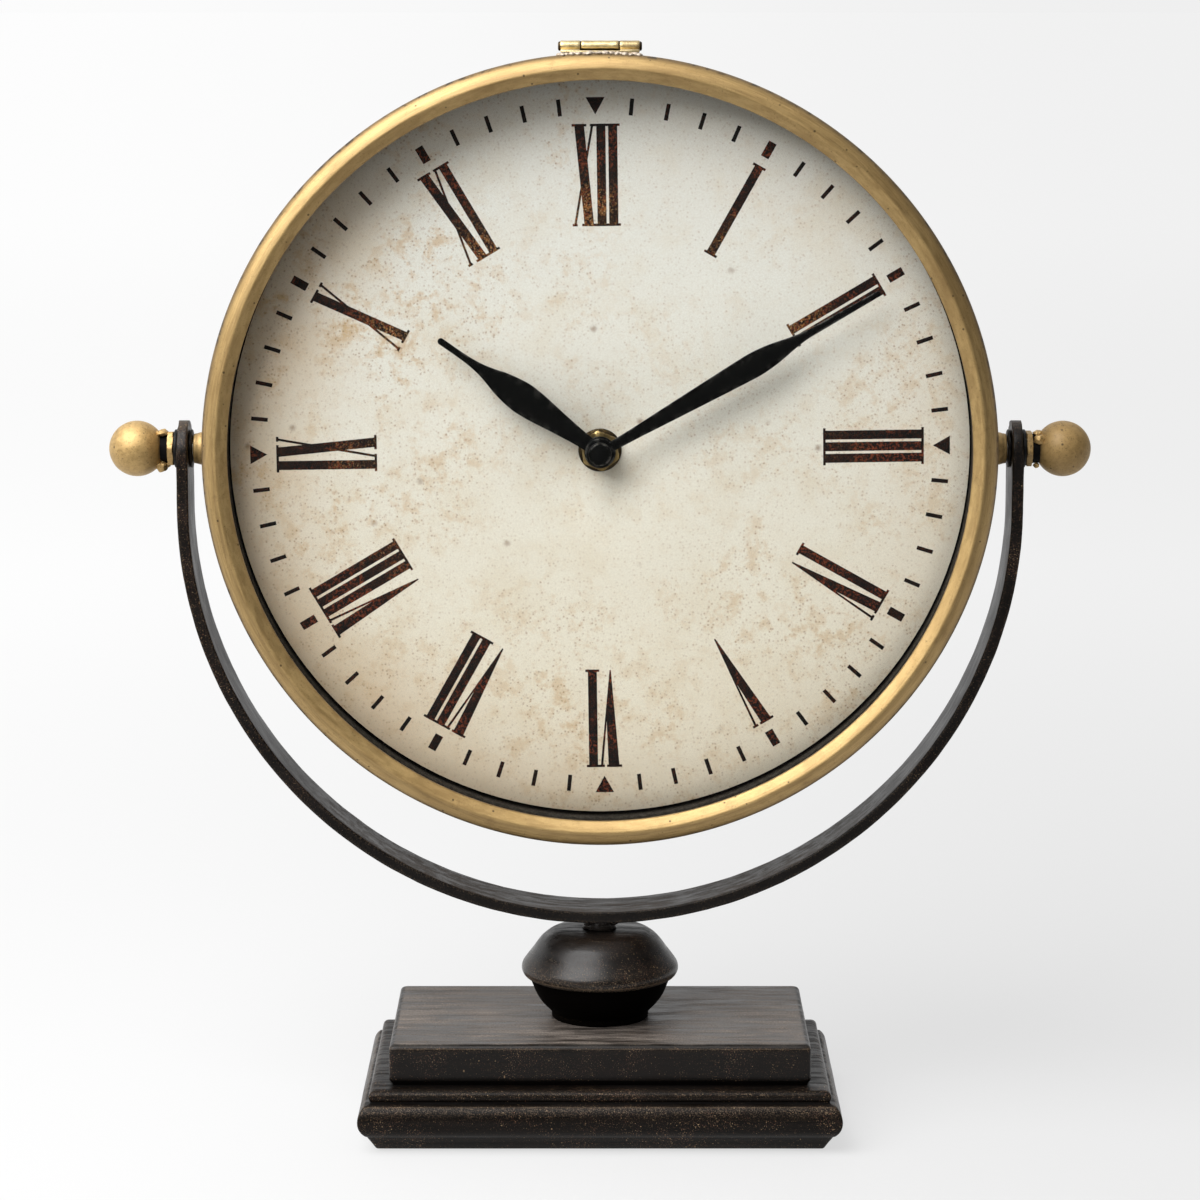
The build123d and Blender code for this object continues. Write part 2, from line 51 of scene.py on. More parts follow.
class Mat:
    """A material with short calls for its nodes. Coordinates are the object's own, in metres."""

    def __init__(self, name, world=False):
        self.mat = (bpy.data.worlds if world else bpy.data.materials).new(name)
        self.mat.use_nodes = True
        self.nt = self.mat.node_tree
        self.nt.nodes.clear()
        self.out = self.add("ShaderNodeOutputWorld" if world else "ShaderNodeOutputMaterial")
        self.coord = self.add("ShaderNodeTexCoord").outputs["Generated" if world else "Object"]

    def add(self, kind):
        return self.nt.nodes.new(kind)

    def put(self, socket, value):
        if isinstance(value, bpy.types.NodeSocket):
            self.nt.links.new(value, socket)
        elif hasattr(socket.default_value, "__len__") and not hasattr(value, "__len__"):
            socket.default_value = [value] * len(socket.default_value)
        elif hasattr(socket.default_value, "__len__") and len(value) == 3 and len(socket.default_value) == 4:
            socket.default_value = (*value, 1.0)
        else:
            socket.default_value = value

    def stretch(self, sx, sy, sz, vec=None):
        n = self.add("ShaderNodeMapping")
        self.put(n.inputs["Vector"], vec or self.coord)
        n.inputs["Scale"].default_value = (sx, sy, sz)
        return n.outputs[0]

    def noise(self, scale, detail=4.0, rough=0.55, vec=None, distort=0.0, shift=0.0):
        n = self.add("ShaderNodeTexNoise")
        n.noise_dimensions = "4D"
        self.put(n.inputs["Vector"], vec or self.coord)
        n.inputs["W"].default_value = shift
        n.inputs["Scale"].default_value = scale
        n.inputs["Detail"].default_value = detail
        n.inputs["Roughness"].default_value = rough
        n.inputs["Distortion"].default_value = distort
        return n.outputs["Fac"]

    def cells(self, scale, vec=None, jitter=1.0):
        n = self.add("ShaderNodeTexVoronoi")
        self.put(n.inputs["Vector"], vec or self.coord)
        n.inputs["Scale"].default_value = scale
        n.inputs["Randomness"].default_value = jitter
        sep = self.add("ShaderNodeSeparateColor")
        self.nt.links.new(n.outputs["Color"], sep.inputs[0])
        return n.outputs["Distance"], sep.outputs[0], sep.outputs[1]

    def span(self, value, a, b, lo=0.0, hi=1.0, smooth=True):
        n = self.add("ShaderNodeMapRange")
        n.interpolation_type = "SMOOTHSTEP" if smooth else "LINEAR"
        n.clamp = True
        self.put(n.inputs["Value"], value)
        for k, v in zip(("From Min", "From Max", "To Min", "To Max"), (a, b, lo, hi)):
            self.put(n.inputs[k], v)
        return n.outputs[0]

    def calc(self, op, a, b=0.0, clamp=False):
        n = self.add("ShaderNodeMath")
        n.operation = op
        n.use_clamp = clamp
        self.put(n.inputs[0], a)
        self.put(n.inputs[1], b)
        return n.outputs[0]

    def mul(self, *vals):
        r = vals[0]
        for v in vals[1:]:
            r = self.calc("MULTIPLY", r, v)
        return r

    def blend(self, fac, a, b, mode="MIX"):
        n = self.add("ShaderNodeMix")
        n.data_type = "RGBA"
        n.blend_type = mode
        n.clamp_factor = True
        self.put(n.inputs[0], fac)
        self.put(n.inputs[6], a)
        self.put(n.inputs[7], b)
        return n.outputs[2]

    def xyz(self, vec=None):
        n = self.add("ShaderNodeSeparateXYZ")
        self.put(n.inputs[0], vec or self.coord)
        return n.outputs[0], n.outputs[1], n.outputs[2]

    def attr(self, name):
        n = self.add("ShaderNodeAttribute")
        n.attribute_type = "GEOMETRY"
        n.attribute_name = name
        return n.outputs["Fac"]

    def bump(self, height, strength, distance, normal=None):
        n = self.add("ShaderNodeBump")
        n.inputs["Strength"].default_value = strength
        n.inputs["Distance"].default_value = distance
        self.put(n.inputs["Height"], height)
        if normal is not None:
            self.put(n.inputs["Normal"], normal)
        return n.outputs[0]

    def facing_up(self):
        n = self.add("ShaderNodeNewGeometry")
        s = self.add("ShaderNodeSeparateXYZ")
        self.nt.links.new(n.outputs["True Normal"], s.inputs[0])
        return s.outputs[2]

    def finish(self, **sockets):
        p = self.add("ShaderNodeBsdfPrincipled")
        names = {"color": "Base Color", "metal": "Metallic", "rough": "Roughness", "normal": "Normal",
                 "spec": "Specular IOR Level", "coat": "Coat Weight", "coat_rough": "Coat Roughness", "ior": "IOR"}
        for k, v in sockets.items():
            self.put(p.inputs[names[k]], v)
        self.nt.links.new(p.outputs[0], self.out.inputs["Surface"])
        return self.mat


# ----------------------------------------------------------------------------
# materials
# ----------------------------------------------------------------------------

def gold_paint(name, light=1.0, dark=1.0, brushed=None, rough=(0.45, 0.55), pits=0.35):
    """Antique gold paint: satin, finely brushed, mottled, with dark chips where worn, and brown in the hollows that is
    partly grime and partly painted shade.
    """
    m = Mat(name)
    vec = brushed(m) if brushed else m.coord
    broad = m.noise(26, 3, 0.5, shift=1.7)
    grain = m.noise(700, 5, 0.68, vec=vec, shift=0.4)
    fine = m.noise(2600, 3, 0.6, shift=3.1)
    base = m.blend(m.span(grain, 0.34, 0.66), (0.425 * light, 0.280 * light, 0.108 * light), (0.560 * light, 0.388 * light, 0.164 * light))
    base = m.blend(m.mul(m.span(broad, 0.46, 0.68), 0.40), base, (0.345 * light, 0.216 * light, 0.080 * light))
    if brushed:
        stroke = m.noise(330, 4, 0.62, vec=vec, shift=23.0)
        base = m.blend(m.mul(m.span(stroke, 0.50, 0.62), 0.42), base, (0.300 * light, 0.188 * light, 0.070 * light))
    blot = m.noise(170, 5, 0.62, distort=0.4, shift=6.0)
    base = m.blend(m.mul(m.span(blot, 0.58, 0.76), 0.45 * dark), base, (0.190, 0.112, 0.046))
    speck = m.noise(1200, 4, 0.66, shift=7.0)
    base = m.blend(m.mul(m.span(speck, 0.60, 0.70), 0.45 * dark), base, (0.150, 0.088, 0.036))
    # brown in the hollows: grime in creases, and painted shade beside the knob necks
    hollow_grime_and_shade = m.attr("hollow_grime_and_shade")
    rub = m.noise(330, 4, 0.6, distort=0.6, shift=9.0)
    base = m.blend(m.mul(hollow_grime_and_shade, m.span(rub, 0.25, 0.7, 0.70, 1.0)), base, (0.120, 0.074, 0.030))
    wear_and_highlight = m.attr("wear_and_highlight")
    chip = m.mul(m.span(wear_and_highlight, 0.25, 1.0), m.span(rub, 0.52, 0.60))
    base = m.blend(m.mul(chip, 0.95), base, (0.026, 0.017, 0.010))
    dist, pick, size = m.cells(300)
    pit = m.mul(m.span(dist, 0.07, 0.15, 1.0, 0.0), m.span(pick, 0.62, 0.66))
    base = m.blend(m.mul(pit, 0.80), base, (0.060, 0.036, 0.016))
    grit = m.noise(1500, 4, 0.70, distort=0.3, shift=17.0)
    crowd = m.span(m.noise(150, 4, 0.62, shift=19.0), 0.40, 0.62, 0.25, 1.0)
    spots = m.mul(m.span(grit, 0.575, 0.625), crowd)
    base = m.blend(m.mul(spots, pits), base, (0.070, 0.042, 0.018))
    r = m.span(grain, 0.3, 0.7, *rough)
    r = m.calc("ADD", r, m.mul(m.span(blot, 0.5, 0.75), 0.08))
    n = m.bump(fine, 0.20, 0.00010)
    n = m.bump(grain, 0.26 if brushed else 0.16, 0.00016, n)
    n = m.bump(m.calc("ADD", pit, chip), 0.35, -0.00010, n)
    return m.finish(color=base, metal=0.93, rough=r, normal=n, spec=0.5, coat=0.38, coat_rough=0.40)


def flecks(m, scale, share, size, vec=None, streak=(1, 1, 1)):
    """Small paint flecks: the share of cells that hold one, and the largest radius in cell widths."""
    dist, pick, other = m.cells(scale, vec=m.stretch(*streak, vec=vec))
    wide = m.span(other, 0.0, 1.0, 0.45 * size, size, smooth=False)
    d = m.calc("SUBTRACT", dist, wide)
    return m.mul(m.span(d, -0.35 * size, 0.20 * size, 1.0, 0.0), m.span(pick, 1.0 - share, 1.0 - share + 0.02))


def dark_paint(name, tint=(0.0030, 0.0022, 0.0017), gloss=(0.26, 0.38), speck=1.0, brush=(30, 30, 30), place=None, sheen=0.15, rub_and_highlight_amount=1.0,
               dust_and_sheen_amount=0.75, dust_and_sheen_tone=(0.060, 0.042, 0.028), lush=0.0):
    """Espresso paint over wood or iron, brushed, with gold and rust flecks, pale worn ridges with a painted highlight
    along their crests, upward-facing tops lightened partly by a dry, powdery film and partly as painted sheen, and
    painted shade in the hollows.
    """
    m = Mat(name)
    streak = m.noise(1.0, 5, 0.66, vec=m.stretch(*brush), shift=2.0, distort=0.25)
    cloud = m.noise(34, 4, 0.55, shift=5.0)
    fine = m.noise(1700, 4, 0.65, shift=8.0)
    base = m.blend(m.span(streak, 0.34, 0.68), tint, tuple(c * 1.9 for c in tint))
    base = m.blend(m.mul(m.span(cloud, 0.48, 0.7), 0.5), base, (0.0085, 0.0048, 0.0034))
    base = m.blend(m.mul(m.span(fine, 0.56, 0.70), 0.30), base, (0.0190, 0.0120, 0.0086))
    # upward-facing tops lightened: partly dust scratched along the grain, partly painted sheen standing in for the
    # bright reflection at grazing angles
    dust_and_sheen = m.span(m.facing_up(), 0.55, 0.95)
    scratch = m.noise(1.0, 5, 0.70, vec=m.stretch(58, 430, 430), shift=33.0, distort=0.18)
    lines = m.noise(1.0, 4, 0.62, vec=m.stretch(26, 300, 26), shift=35.0)
    dry = m.mul(m.span(streak, 0.30, 0.66, 0.45, 1.0), m.span(scratch, 0.40, 0.60, 0.28, 1.0), m.span(lines, 0.40, 0.56, 0.65, 1.0), m.span(fine, 0.38, 0.62, 0.50, 1.0))
    base = m.blend(m.mul(dust_and_sheen, dry, dust_and_sheen_amount), base, dust_and_sheen_tone)
    where = m.span(m.noise(60, 3, 0.6, shift=3.0), 0.36, 0.60, 0.50, 1.0)
    if place is not None:
        where = m.mul(where, place(m))
    cover = m.span(m.noise(75, 4, 0.65, shift=31.0), 0.38, 0.62, 0.055, 0.0)
    grit = m.span(m.calc("SUBTRACT", m.noise(2300, 3, 0.62, shift=21.0), cover), 0.600 - lush, 0.640 - lush)
    rust = m.span(m.calc("SUBTRACT", m.noise(2600, 3, 0.62, shift=27.0), cover), 0.590 - lush, 0.635 - lush)
    big = flecks(m, 330, 0.30, 0.075, streak=(1, 1, 0.55))
    mid = flecks(m, 600, 0.50, 0.110, streak=(1, 1, 0.75))
    hue = m.noise(700, 2, 0.5, shift=4.0)
    gold = m.blend(m.span(hue, 0.35, 0.65), (0.190, 0.088, 0.050), (0.460, 0.325, 0.185))
    base = m.blend(m.mul(rust, where, 0.80 * speck), base, (0.115, 0.058, 0.042))
    base = m.blend(m.mul(grit, where, 0.85 * speck), base, gold)
    base = m.blend(m.mul(mid, where, 0.80 * speck), base, gold)
    base = m.blend(m.mul(big, where, 0.90 * speck), base, gold)
    wear_and_highlight = m.attr("wear_and_highlight")
    rub = m.noise(200, 4, 0.62, distort=0.5, shift=12.0)
    grain = m.noise(2300, 3, 0.70, shift=13.0)
    rub_and_highlight = m.mul(wear_and_highlight, m.span(rub, 0.32, 0.62, 0.30, 1.0), m.span(grain, 0.53, 0.575))
    # along the highest crests a painted highlight line, over the rubbed paint
    crest_highlight = m.mul(m.span(wear_and_highlight, 0.78, 1.0), m.span(rub, 0.30, 0.60, 0.25, 0.85))
    rub_and_highlight = m.calc("MAXIMUM", m.mul(rub_and_highlight, 0.75), crest_highlight)
    base = m.blend(m.mul(rub_and_highlight, rub_and_highlight_amount), base, (0.270, 0.190, 0.122))
    # painted shade: near black in recesses, undercuts, joints and under the plinth
    hollow_grime_and_shade = m.attr("hollow_grime_and_shade")
    base = m.blend(m.mul(hollow_grime_and_shade, 0.90), base, (0.0016, 0.0012, 0.0010))
    rough = m.span(streak, 0.3, 0.7, *gloss)
    rough = m.calc("ADD", rough, m.mul(m.span(cloud, 0.4, 0.7), 0.06))
    rough = m.calc("ADD", rough, m.mul(dust_and_sheen, m.span(scratch, 0.42, 0.60), 0.26))
    n = m.bump(streak, 0.40, 0.00020)
    n = m.bump(fine, 0.25, 0.00010, n)
    n = m.bump(m.mul(scratch, dust_and_sheen), 0.50 * dust_and_sheen_amount, 0.00022, n)
    n = m.bump(m.calc("ADD", m.calc("ADD", big, mid), grit), 0.30, 0.00005, n)
    return m.finish(color=base, rough=rough, normal=n, spec=sheen)


def foxing(m, scale, share, size, shift, ragged=0.30):
    """Soft brown spots of uneven size, broken at their edges."""
    off = m.add("ShaderNodeVectorMath")
    off.operation = "ADD"
    m.put(off.inputs[0], m.coord)
    off.inputs[1].default_value = (shift, 0.3 * shift, -0.7 * shift)
    dist, pick, other = m.cells(scale, vec=off.outputs[0])
    wide = m.span(other, 0.0, 1.0, 0.30 * size, size, smooth=False)
    broken = m.calc("ADD", dist, m.mul(m.calc("SUBTRACT", m.noise(1100, 4, 0.65, shift=shift), 0.5), ragged))
    d = m.calc("SUBTRACT", broken, wide)
    return m.mul(m.span(d, -0.9 * size, 0.30 * size, 1.0, 0.0), m.span(pick, 1.0 - share, 1.0 - share + 0.05))


def dial_paper():
    """Cream paper, cooler grey at the top and warmer towards the foot as painted shade and light, browner towards the
    rim and most so at the left and the foot, with foxing that gathers in drifts.
    """
    m = Mat("dial_paper_aged")
    x, y, z = m.xyz()
    zz = m.calc("SUBTRACT", z, 0.22)
    rad = m.calc("SQRT", m.calc("ADD", m.mul(x, x), m.mul(zz, zz)))
    # painted shade and light: cooler grey at the top, warmer cream towards the foot
    up = m.span(z, 0.105, 0.335)
    base = m.blend(up, (0.940, 0.858, 0.706), (0.900, 0.884, 0.834))
    cloud = m.noise(18, 5, 0.62, shift=1.0)
    edge = m.span(m.calc("ADD", rad, m.mul(m.calc("SUBTRACT", cloud, 0.5), 0.06)), 0.076, 0.122)
    lean = m.span(m.calc("ADD", m.mul(x, 0.8), m.mul(zz, 0.25)), -0.095, 0.030, 0.85, 0.22)
    base = m.blend(m.mul(edge, lean), base, (0.750, 0.560, 0.370))
    haze = m.noise(46, 5, 0.66, distort=0.3, shift=5.0)
    base = m.blend(m.mul(m.span(haze, 0.44, 0.70), 0.28), base, (0.760, 0.610, 0.410))
    # drifts: thick at the upper left and the lower right, thin in the middle
    drift = m.span(m.noise(24, 4, 0.62, shift=4.0), 0.38, 0.62, 0.10, 1.0)
    side = m.calc("ABSOLUTE", m.calc("ADD", m.mul(x, 0.78), m.mul(zz, -0.62)))
    drift = m.mul(drift, m.span(side, 0.005, 0.080, 0.45, 1.0), m.span(m.calc("ADD", m.mul(x, 0.8), m.mul(zz, 0.6)), 0.075, -0.070, 0.70, 1.30))
    stain = m.noise(170, 6, 0.72, distort=0.25, shift=2.0)
    base = m.blend(m.mul(m.span(stain, 0.46, 0.64), drift, 0.66), base, (0.660, 0.420, 0.195))
    gather = m.mul(m.span(drift, 0.0, 1.0, 0.22, 1.0), m.span(stain, 0.40, 0.58, 0.30, 1.0))
    spots = foxing(m, 190, 0.50, 0.30, 3.0, ragged=0.60)
    base = m.blend(m.mul(spots, gather, 0.66), base, (0.500, 0.255, 0.080))
    dots = foxing(m, 400, 0.70, 0.34, 7.0, ragged=0.5)
    base = m.blend(m.mul(dots, gather, 0.80), base, (0.430, 0.205, 0.065))
    pin = foxing(m, 820, 0.70, 0.36, 11.0)
    base = m.blend(m.mul(pin, m.span(gather, 0.0, 0.8, 0.30, 1.0), 0.85), base, (0.350, 0.175, 0.065))
    dirt = m.span(m.noise(2000, 3, 0.66, shift=29.0), 0.595, 0.640)
    base = m.blend(m.mul(dirt, m.span(gather, 0.0, 0.8, 0.25, 1.0), 0.55), base, (0.330, 0.200, 0.100))
    rust = foxing(m, 72, 0.22, 0.10, 17.0, ragged=0.10)
    base = m.blend(m.mul(rust, 0.72), base, (0.250, 0.115, 0.045))
    dark = foxing(m, 120, 0.10, 0.05, 23.0, ragged=0.05)
    base = m.blend(m.mul(dark, 0.8), base, (0.070, 0.045, 0.030))
    grain = m.noise(1500, 4, 0.68, shift=9.0)
    base = m.blend(m.span(grain, 0.32, 0.68, 0.0, 0.27), base, (0.610, 0.535, 0.425))
    scr = m.noise(1.0, 2, 0.5, vec=m.stretch(210, 40, 2400), shift=3.0)
    base = m.blend(m.mul(m.span(scr, 0.68, 0.76), m.span(z, 0.20, 0.14), 0.35), base, (0.470, 0.365, 0.235))
    n = m.bump(grain, 0.10, 0.00008)
    return m.finish(color=base, rough=m.span(stain, 0.4, 0.7, 0.62, 0.78), normal=n, spec=0.22)


def print_ink():
    """Black-brown print with rust, and gold-brown flecks where it has worn, most at the upper left and the inner ends."""
    m = Mat("dial_print_rusty")
    x, y, z = m.xyz()
    zz = m.calc("SUBTRACT", z, 0.22)
    rad = m.calc("SQRT", m.calc("ADD", m.mul(x, x), m.mul(zz, zz)))
    top = m.span(m.calc("ADD", zz, m.mul(x, -0.30)), -0.060, 0.060)
    inner = m.span(rad, 0.092, 0.073, 0.02, 1.0)
    track = m.calc("MAXIMUM", m.span(rad, 0.1042, 0.1050, 1.0, 0.25), m.attr("wear_and_highlight"))
    where = m.span(m.noise(110, 4, 0.6, shift=2.0), 0.42, 0.60)
    rust = m.noise(1000, 5, 0.74, distort=0.3, shift=5.0)
    base = m.blend(m.span(m.noise(300, 4, 0.6, shift=1.0), 0.40, 0.62), (0.0045, 0.0034, 0.0030), (0.0120, 0.0062, 0.0044))
    base = m.blend(m.mul(m.span(rust, 0.50, 0.56), m.span(where, 0.0, 1.0, 0.12, 1.0), track), base, (0.185, 0.040, 0.016))
    gold = m.noise(1050, 5, 0.74, distort=0.2, shift=11.0)
    much = m.mul(m.span(where, 0.0, 1.0, 0.25, 1.0), top, inner, track)
    base = m.blend(m.mul(m.span(gold, 0.52, 0.59), much, 1.4), base, (0.320, 0.130, 0.036))
    pale = m.noise(1500, 4, 0.70, shift=15.0)
    base = m.blend(m.mul(m.span(pale, 0.565, 0.62), much, 1.4), base, (0.640, 0.400, 0.180))
    return m.finish(color=base, rough=m.span(rust, 0.4, 0.7, 0.55, 0.8), spec=0.2, normal=m.bump(rust, 0.12, 0.00005))


def satin_black(name, tone=0.0055, rough=(0.34, 0.46), spec=0.35, edge=(0.075, 0.070, 0.064)):
    m = Mat(name)
    a = m.noise(420, 4, 0.6, shift=1.0)
    b = m.noise(1.0, 4, 0.6, vec=m.stretch(900, 900, 900), shift=2.0)
    base = m.blend(m.span(a, 0.35, 0.7), (tone, tone, tone * 0.96), (tone * 2.0, tone * 1.9, tone * 1.75))
    # lighter colour on the edges and bevels; on the hands it is grey, a painted highlight on the bevels
    base = m.blend(m.mul(m.attr("wear_and_highlight"), m.span(a, 0.48, 0.6), 0.5), base, edge)
    return m.finish(color=base, rough=m.span(b, 0.3, 0.7, *rough), normal=m.bump(b, 0.12, 0.00008), spec=spec)


def metal(name, tone, deep, rough=(0.26, 0.42), scale=600, stain=None, amount=0.5, stretch=None):
    m = Mat(name)
    vec = m.stretch(*stretch) if stretch else None
    a = m.noise(scale, 5, 0.62, vec=vec, shift=1.0)
    b = m.noise(85, 4, 0.6, shift=4.0)
    base = m.blend(m.span(a, 0.32, 0.70), deep, tone)
    if stain:
        base = m.blend(m.mul(m.span(b, 0.48, 0.66), amount), base, stain)
    # painted shade: dark at the knuckle ends and under the hinge knuckle
    base = m.blend(m.mul(m.attr("hollow_grime_and_shade"), 0.85), base, (0.030, 0.020, 0.011))
    r = m.calc("ADD", m.span(a, 0.3, 0.7, *rough), m.mul(m.span(b, 0.45, 0.7), 0.10))
    return m.finish(color=base, metal=1.0, rough=r, normal=m.bump(a, 0.15, 0.00008))


def plastic(name, tone, deep, rough=(0.38, 0.50), spec=0.4, scale=1400):
    m = Mat(name)
    a = m.noise(scale, 3, 0.6, shift=1.0)
    b = m.noise(70, 3, 0.5, shift=2.0)
    base = m.blend(m.span(b, 0.35, 0.65), deep, tone)
    base = m.blend(m.mul(m.span(a, 0.55, 0.75), 0.4), base, tuple(min(1.0, c * 1.5) for c in tone))
    return m.finish(color=base, rough=m.span(a, 0.3, 0.7, *rough), normal=m.bump(a, 0.14, 0.00008), spec=spec)


def clear_glass():
    m = Mat("clear_glass_pane")
    clear = m.add("ShaderNodeBsdfTransparent")
    clear.inputs["Color"].default_value = (0.985, 0.992, 0.988, 1.0)
    shine = m.add("ShaderNodeBsdfGlossy")
    shine.inputs["Color"].default_value = (1, 1, 1, 1)
    m.put(shine.inputs["Roughness"], m.span(m.noise(40, 3, 0.5), 0.3, 0.7, 0.02, 0.05))
    rim = m.add("ShaderNodeLayerWeight")
    rim.inputs["Blend"].default_value = 0.12
    mix = m.add("ShaderNodeMixShader")
    m.put(mix.inputs[0], m.mul(rim.outputs["Fresnel"], 0.55))
    m.nt.links.new(clear.outputs[0], mix.inputs[1])
    m.nt.links.new(shine.outputs[0], mix.inputs[2])
    m.nt.links.new(mix.outputs[0], m.out.inputs["Surface"])
    return m.mat


def case_sheet():
    m = Mat("case_sheet_bronze")
    a = m.noise(1.0, 5, 0.62, vec=m.stretch(60, 420, 60), shift=1.0)
    b = m.noise(45, 4, 0.6, shift=3.0)
    c = m.noise(1600, 3, 0.6, shift=5.0)
    base = m.blend(m.span(a, 0.34, 0.68), (0.210, 0.132, 0.060), (0.330, 0.218, 0.102))
    base = m.blend(m.mul(m.span(b, 0.46, 0.68), 0.7), base, (0.120, 0.072, 0.032))
    base = m.blend(m.mul(m.span(c, 0.60, 0.74), 0.5), base, (0.060, 0.038, 0.020))
    n = m.bump(a, 0.15, 0.00012)
    return m.finish(color=base, metal=0.85, rough=m.span(a, 0.3, 0.7, 0.40, 0.55), normal=m.bump(c, 0.2, 0.00008, n))


def powder_black():
    m = Mat("rear_black_powder")
    a = m.noise(1500, 3, 0.6, shift=1.0)
    b = m.noise(60, 4, 0.6, shift=2.0)
    base = m.blend(m.span(b, 0.35, 0.7), (0.0085, 0.0080, 0.0076), (0.0165, 0.0150, 0.0140))
    base = m.blend(m.mul(m.span(a, 0.60, 0.75), 0.5), base, (0.036, 0.033, 0.030))
    return m.finish(color=base, rough=m.span(b, 0.3, 0.7, 0.44, 0.60), normal=m.bump(a, 0.45, 0.00014), spec=0.4)


def surround():
    m = Mat("surround_black_ring")
    a = m.noise(700, 4, 0.6, shift=1.0)
    x, y, z = m.xyz()
    base = m.blend(m.span(a, 0.35, 0.7), (0.030, 0.0260, 0.0220), (0.060, 0.052, 0.044))
    # black where the ring goes down to the dial: black edge paint, and painted shade of the deep recess
    base = m.blend(m.span(y, -0.0125, -0.0070), base, (0.0010, 0.0009, 0.0008))
    return m.finish(color=base, rough=m.span(a, 0.3, 0.7, 0.60, 0.72), normal=m.bump(a, 0.2, 0.00008), spec=0.0)


def felt():
    m = Mat("felt_pads")
    a = m.noise(2200, 5, 0.75, shift=1.0)
    base = m.blend(m.span(a, 0.3, 0.7), (0.006, 0.006, 0.006), (0.026, 0.025, 0.024))
    return m.finish(color=base, rough=0.95, normal=m.bump(a, 0.8, 0.0003), spec=0.1)


def cell_label():
    """A plain dry cell: grey wrap with a dull blue band and bare metal ends."""
    m = Mat("cell_plain_wrap")
    x, y, z = m.xyz()
    a = m.noise(900, 3, 0.6, shift=1.0)
    wrap = m.blend(m.span(a, 0.3, 0.7), (0.33, 0.34, 0.35), (0.40, 0.41, 0.42))
    band = m.mul(m.span(x, -0.016, -0.0157), m.span(x, 0.0082, 0.0079))
    wrap = m.blend(band, wrap, m.blend(a, (0.030, 0.075, 0.130), (0.040, 0.092, 0.155)))
    line = m.mul(m.span(x, 0.0092, 0.0094), m.span(x, 0.0106, 0.0104))
    wrap = m.blend(line, wrap, (0.030, 0.075, 0.130))
    steel = m.calc("MAXIMUM", m.span(x, 0.0235, 0.0237), m.span(x, -0.0243, -0.0245))
    base = m.blend(steel, wrap, (0.62, 0.61, 0.59))
    return m.finish(color=base, metal=m.span(steel, 0.4, 0.6), rough=m.span(a, 0.3, 0.7, 0.28, 0.38), normal=m.bump(a, 0.05, 0.00005))


def board():
    m = Mat("board_green_lacquer")
    a = m.noise(500, 3, 0.6, shift=1.0)
    dist, pick, other = m.cells(420, jitter=0.2)
    base = m.blend(m.span(a, 0.35, 0.7), (0.010, 0.060, 0.026), (0.016, 0.090, 0.040))
    base = m.blend(m.mul(m.span(dist, 0.10, 0.14, 1.0, 0.0), m.span(pick, 0.6, 0.62)), base, (0.55, 0.50, 0.38))
    return m.finish(color=base, rough=m.span(a, 0.3, 0.7, 0.30, 0.42))


def coil_wire():
    m = Mat("coil_copper_wire")
    w = m.add("ShaderNodeTexWave")
    w.bands_direction = "X"
    m.put(w.inputs["Vector"], m.coord)
    w.inputs["Scale"].default_value = 1300
    w.inputs["Distortion"].default_value = 0.6
    base = m.blend(w.outputs["Fac"], (0.30, 0.085, 0.030), (0.62, 0.24, 0.11))
    return m.finish(color=base, metal=1.0, rough=m.span(w.outputs["Fac"], 0.0, 1.0, 0.45, 0.28), normal=m.bump(w.outputs["Fac"], 0.5, 0.0001))


def ring_brush(m):
    """Coordinates that run round the dial's axis, so that the brushing follows the bezel."""
    x, y, z = m.xyz()
    zz = m.calc("SUBTRACT", z, 0.22)
    ang = m.calc("ARCTAN2", zz, x)
    rad = m.calc("SQRT", m.calc("ADD", m.mul(x, x), m.mul(zz, zz)))
    c = m.add("ShaderNodeCombineXYZ")
    m.put(c.inputs[0], m.mul(m.calc("COSINE", ang), 0.030))
    m.put(c.inputs[1], m.mul(m.calc("SINE", ang), 0.030))
    m.put(c.inputs[2], m.calc("ADD", m.mul(rad, 2.6), m.mul(y, 2.6)))
    return c.outputs[0]


GOLD_RING = gold_paint("gold_paint_brushed", brushed=ring_brush, light=0.91, rough=(0.50, 0.60))
GOLD = gold_paint("gold_paint_satin", light=1.05, pits=1.0, rough=(0.56, 0.66))
# a darker, duller copy for the right ball: partly more worn paint, partly painted shade, that ball being further from
# the lamp
GOLD_SHADED = gold_paint("gold_paint_dull_shaded", light=0.80, dark=1.4, pits=1.0, rough=(0.72, 0.82))


def solder():
    m = Mat("solder_painted_over")
    a = m.noise(520, 5, 0.66, distort=0.4, shift=1.0)
    base = m.blend(m.span(a, 0.34, 0.66), (0.330, 0.265, 0.200), (0.580, 0.500, 0.410))
    base = m.blend(m.mul(m.span(m.noise(300, 4, 0.6, shift=3.0), 0.55, 0.66), 0.7), base, (0.110, 0.078, 0.046))
    return m.finish(color=base, metal=0.35, rough=m.span(a, 0.3, 0.7, 0.34, 0.55), normal=m.bump(a, 0.6, 0.0003))


SOLDER = solder()
HINGE_BRASS = metal("hinge_brass_rubbed", (0.700, 0.580, 0.335), (0.500, 0.390, 0.200), rough=(0.34, 0.46), stain=(0.250, 0.165, 0.075), amount=0.6)
DARK_BRASS = metal("dark_brass_tarnished", (0.100, 0.070, 0.036), (0.040, 0.027, 0.014), rough=(0.36, 0.50), stain=(0.020, 0.013, 0.008), amount=0.8)
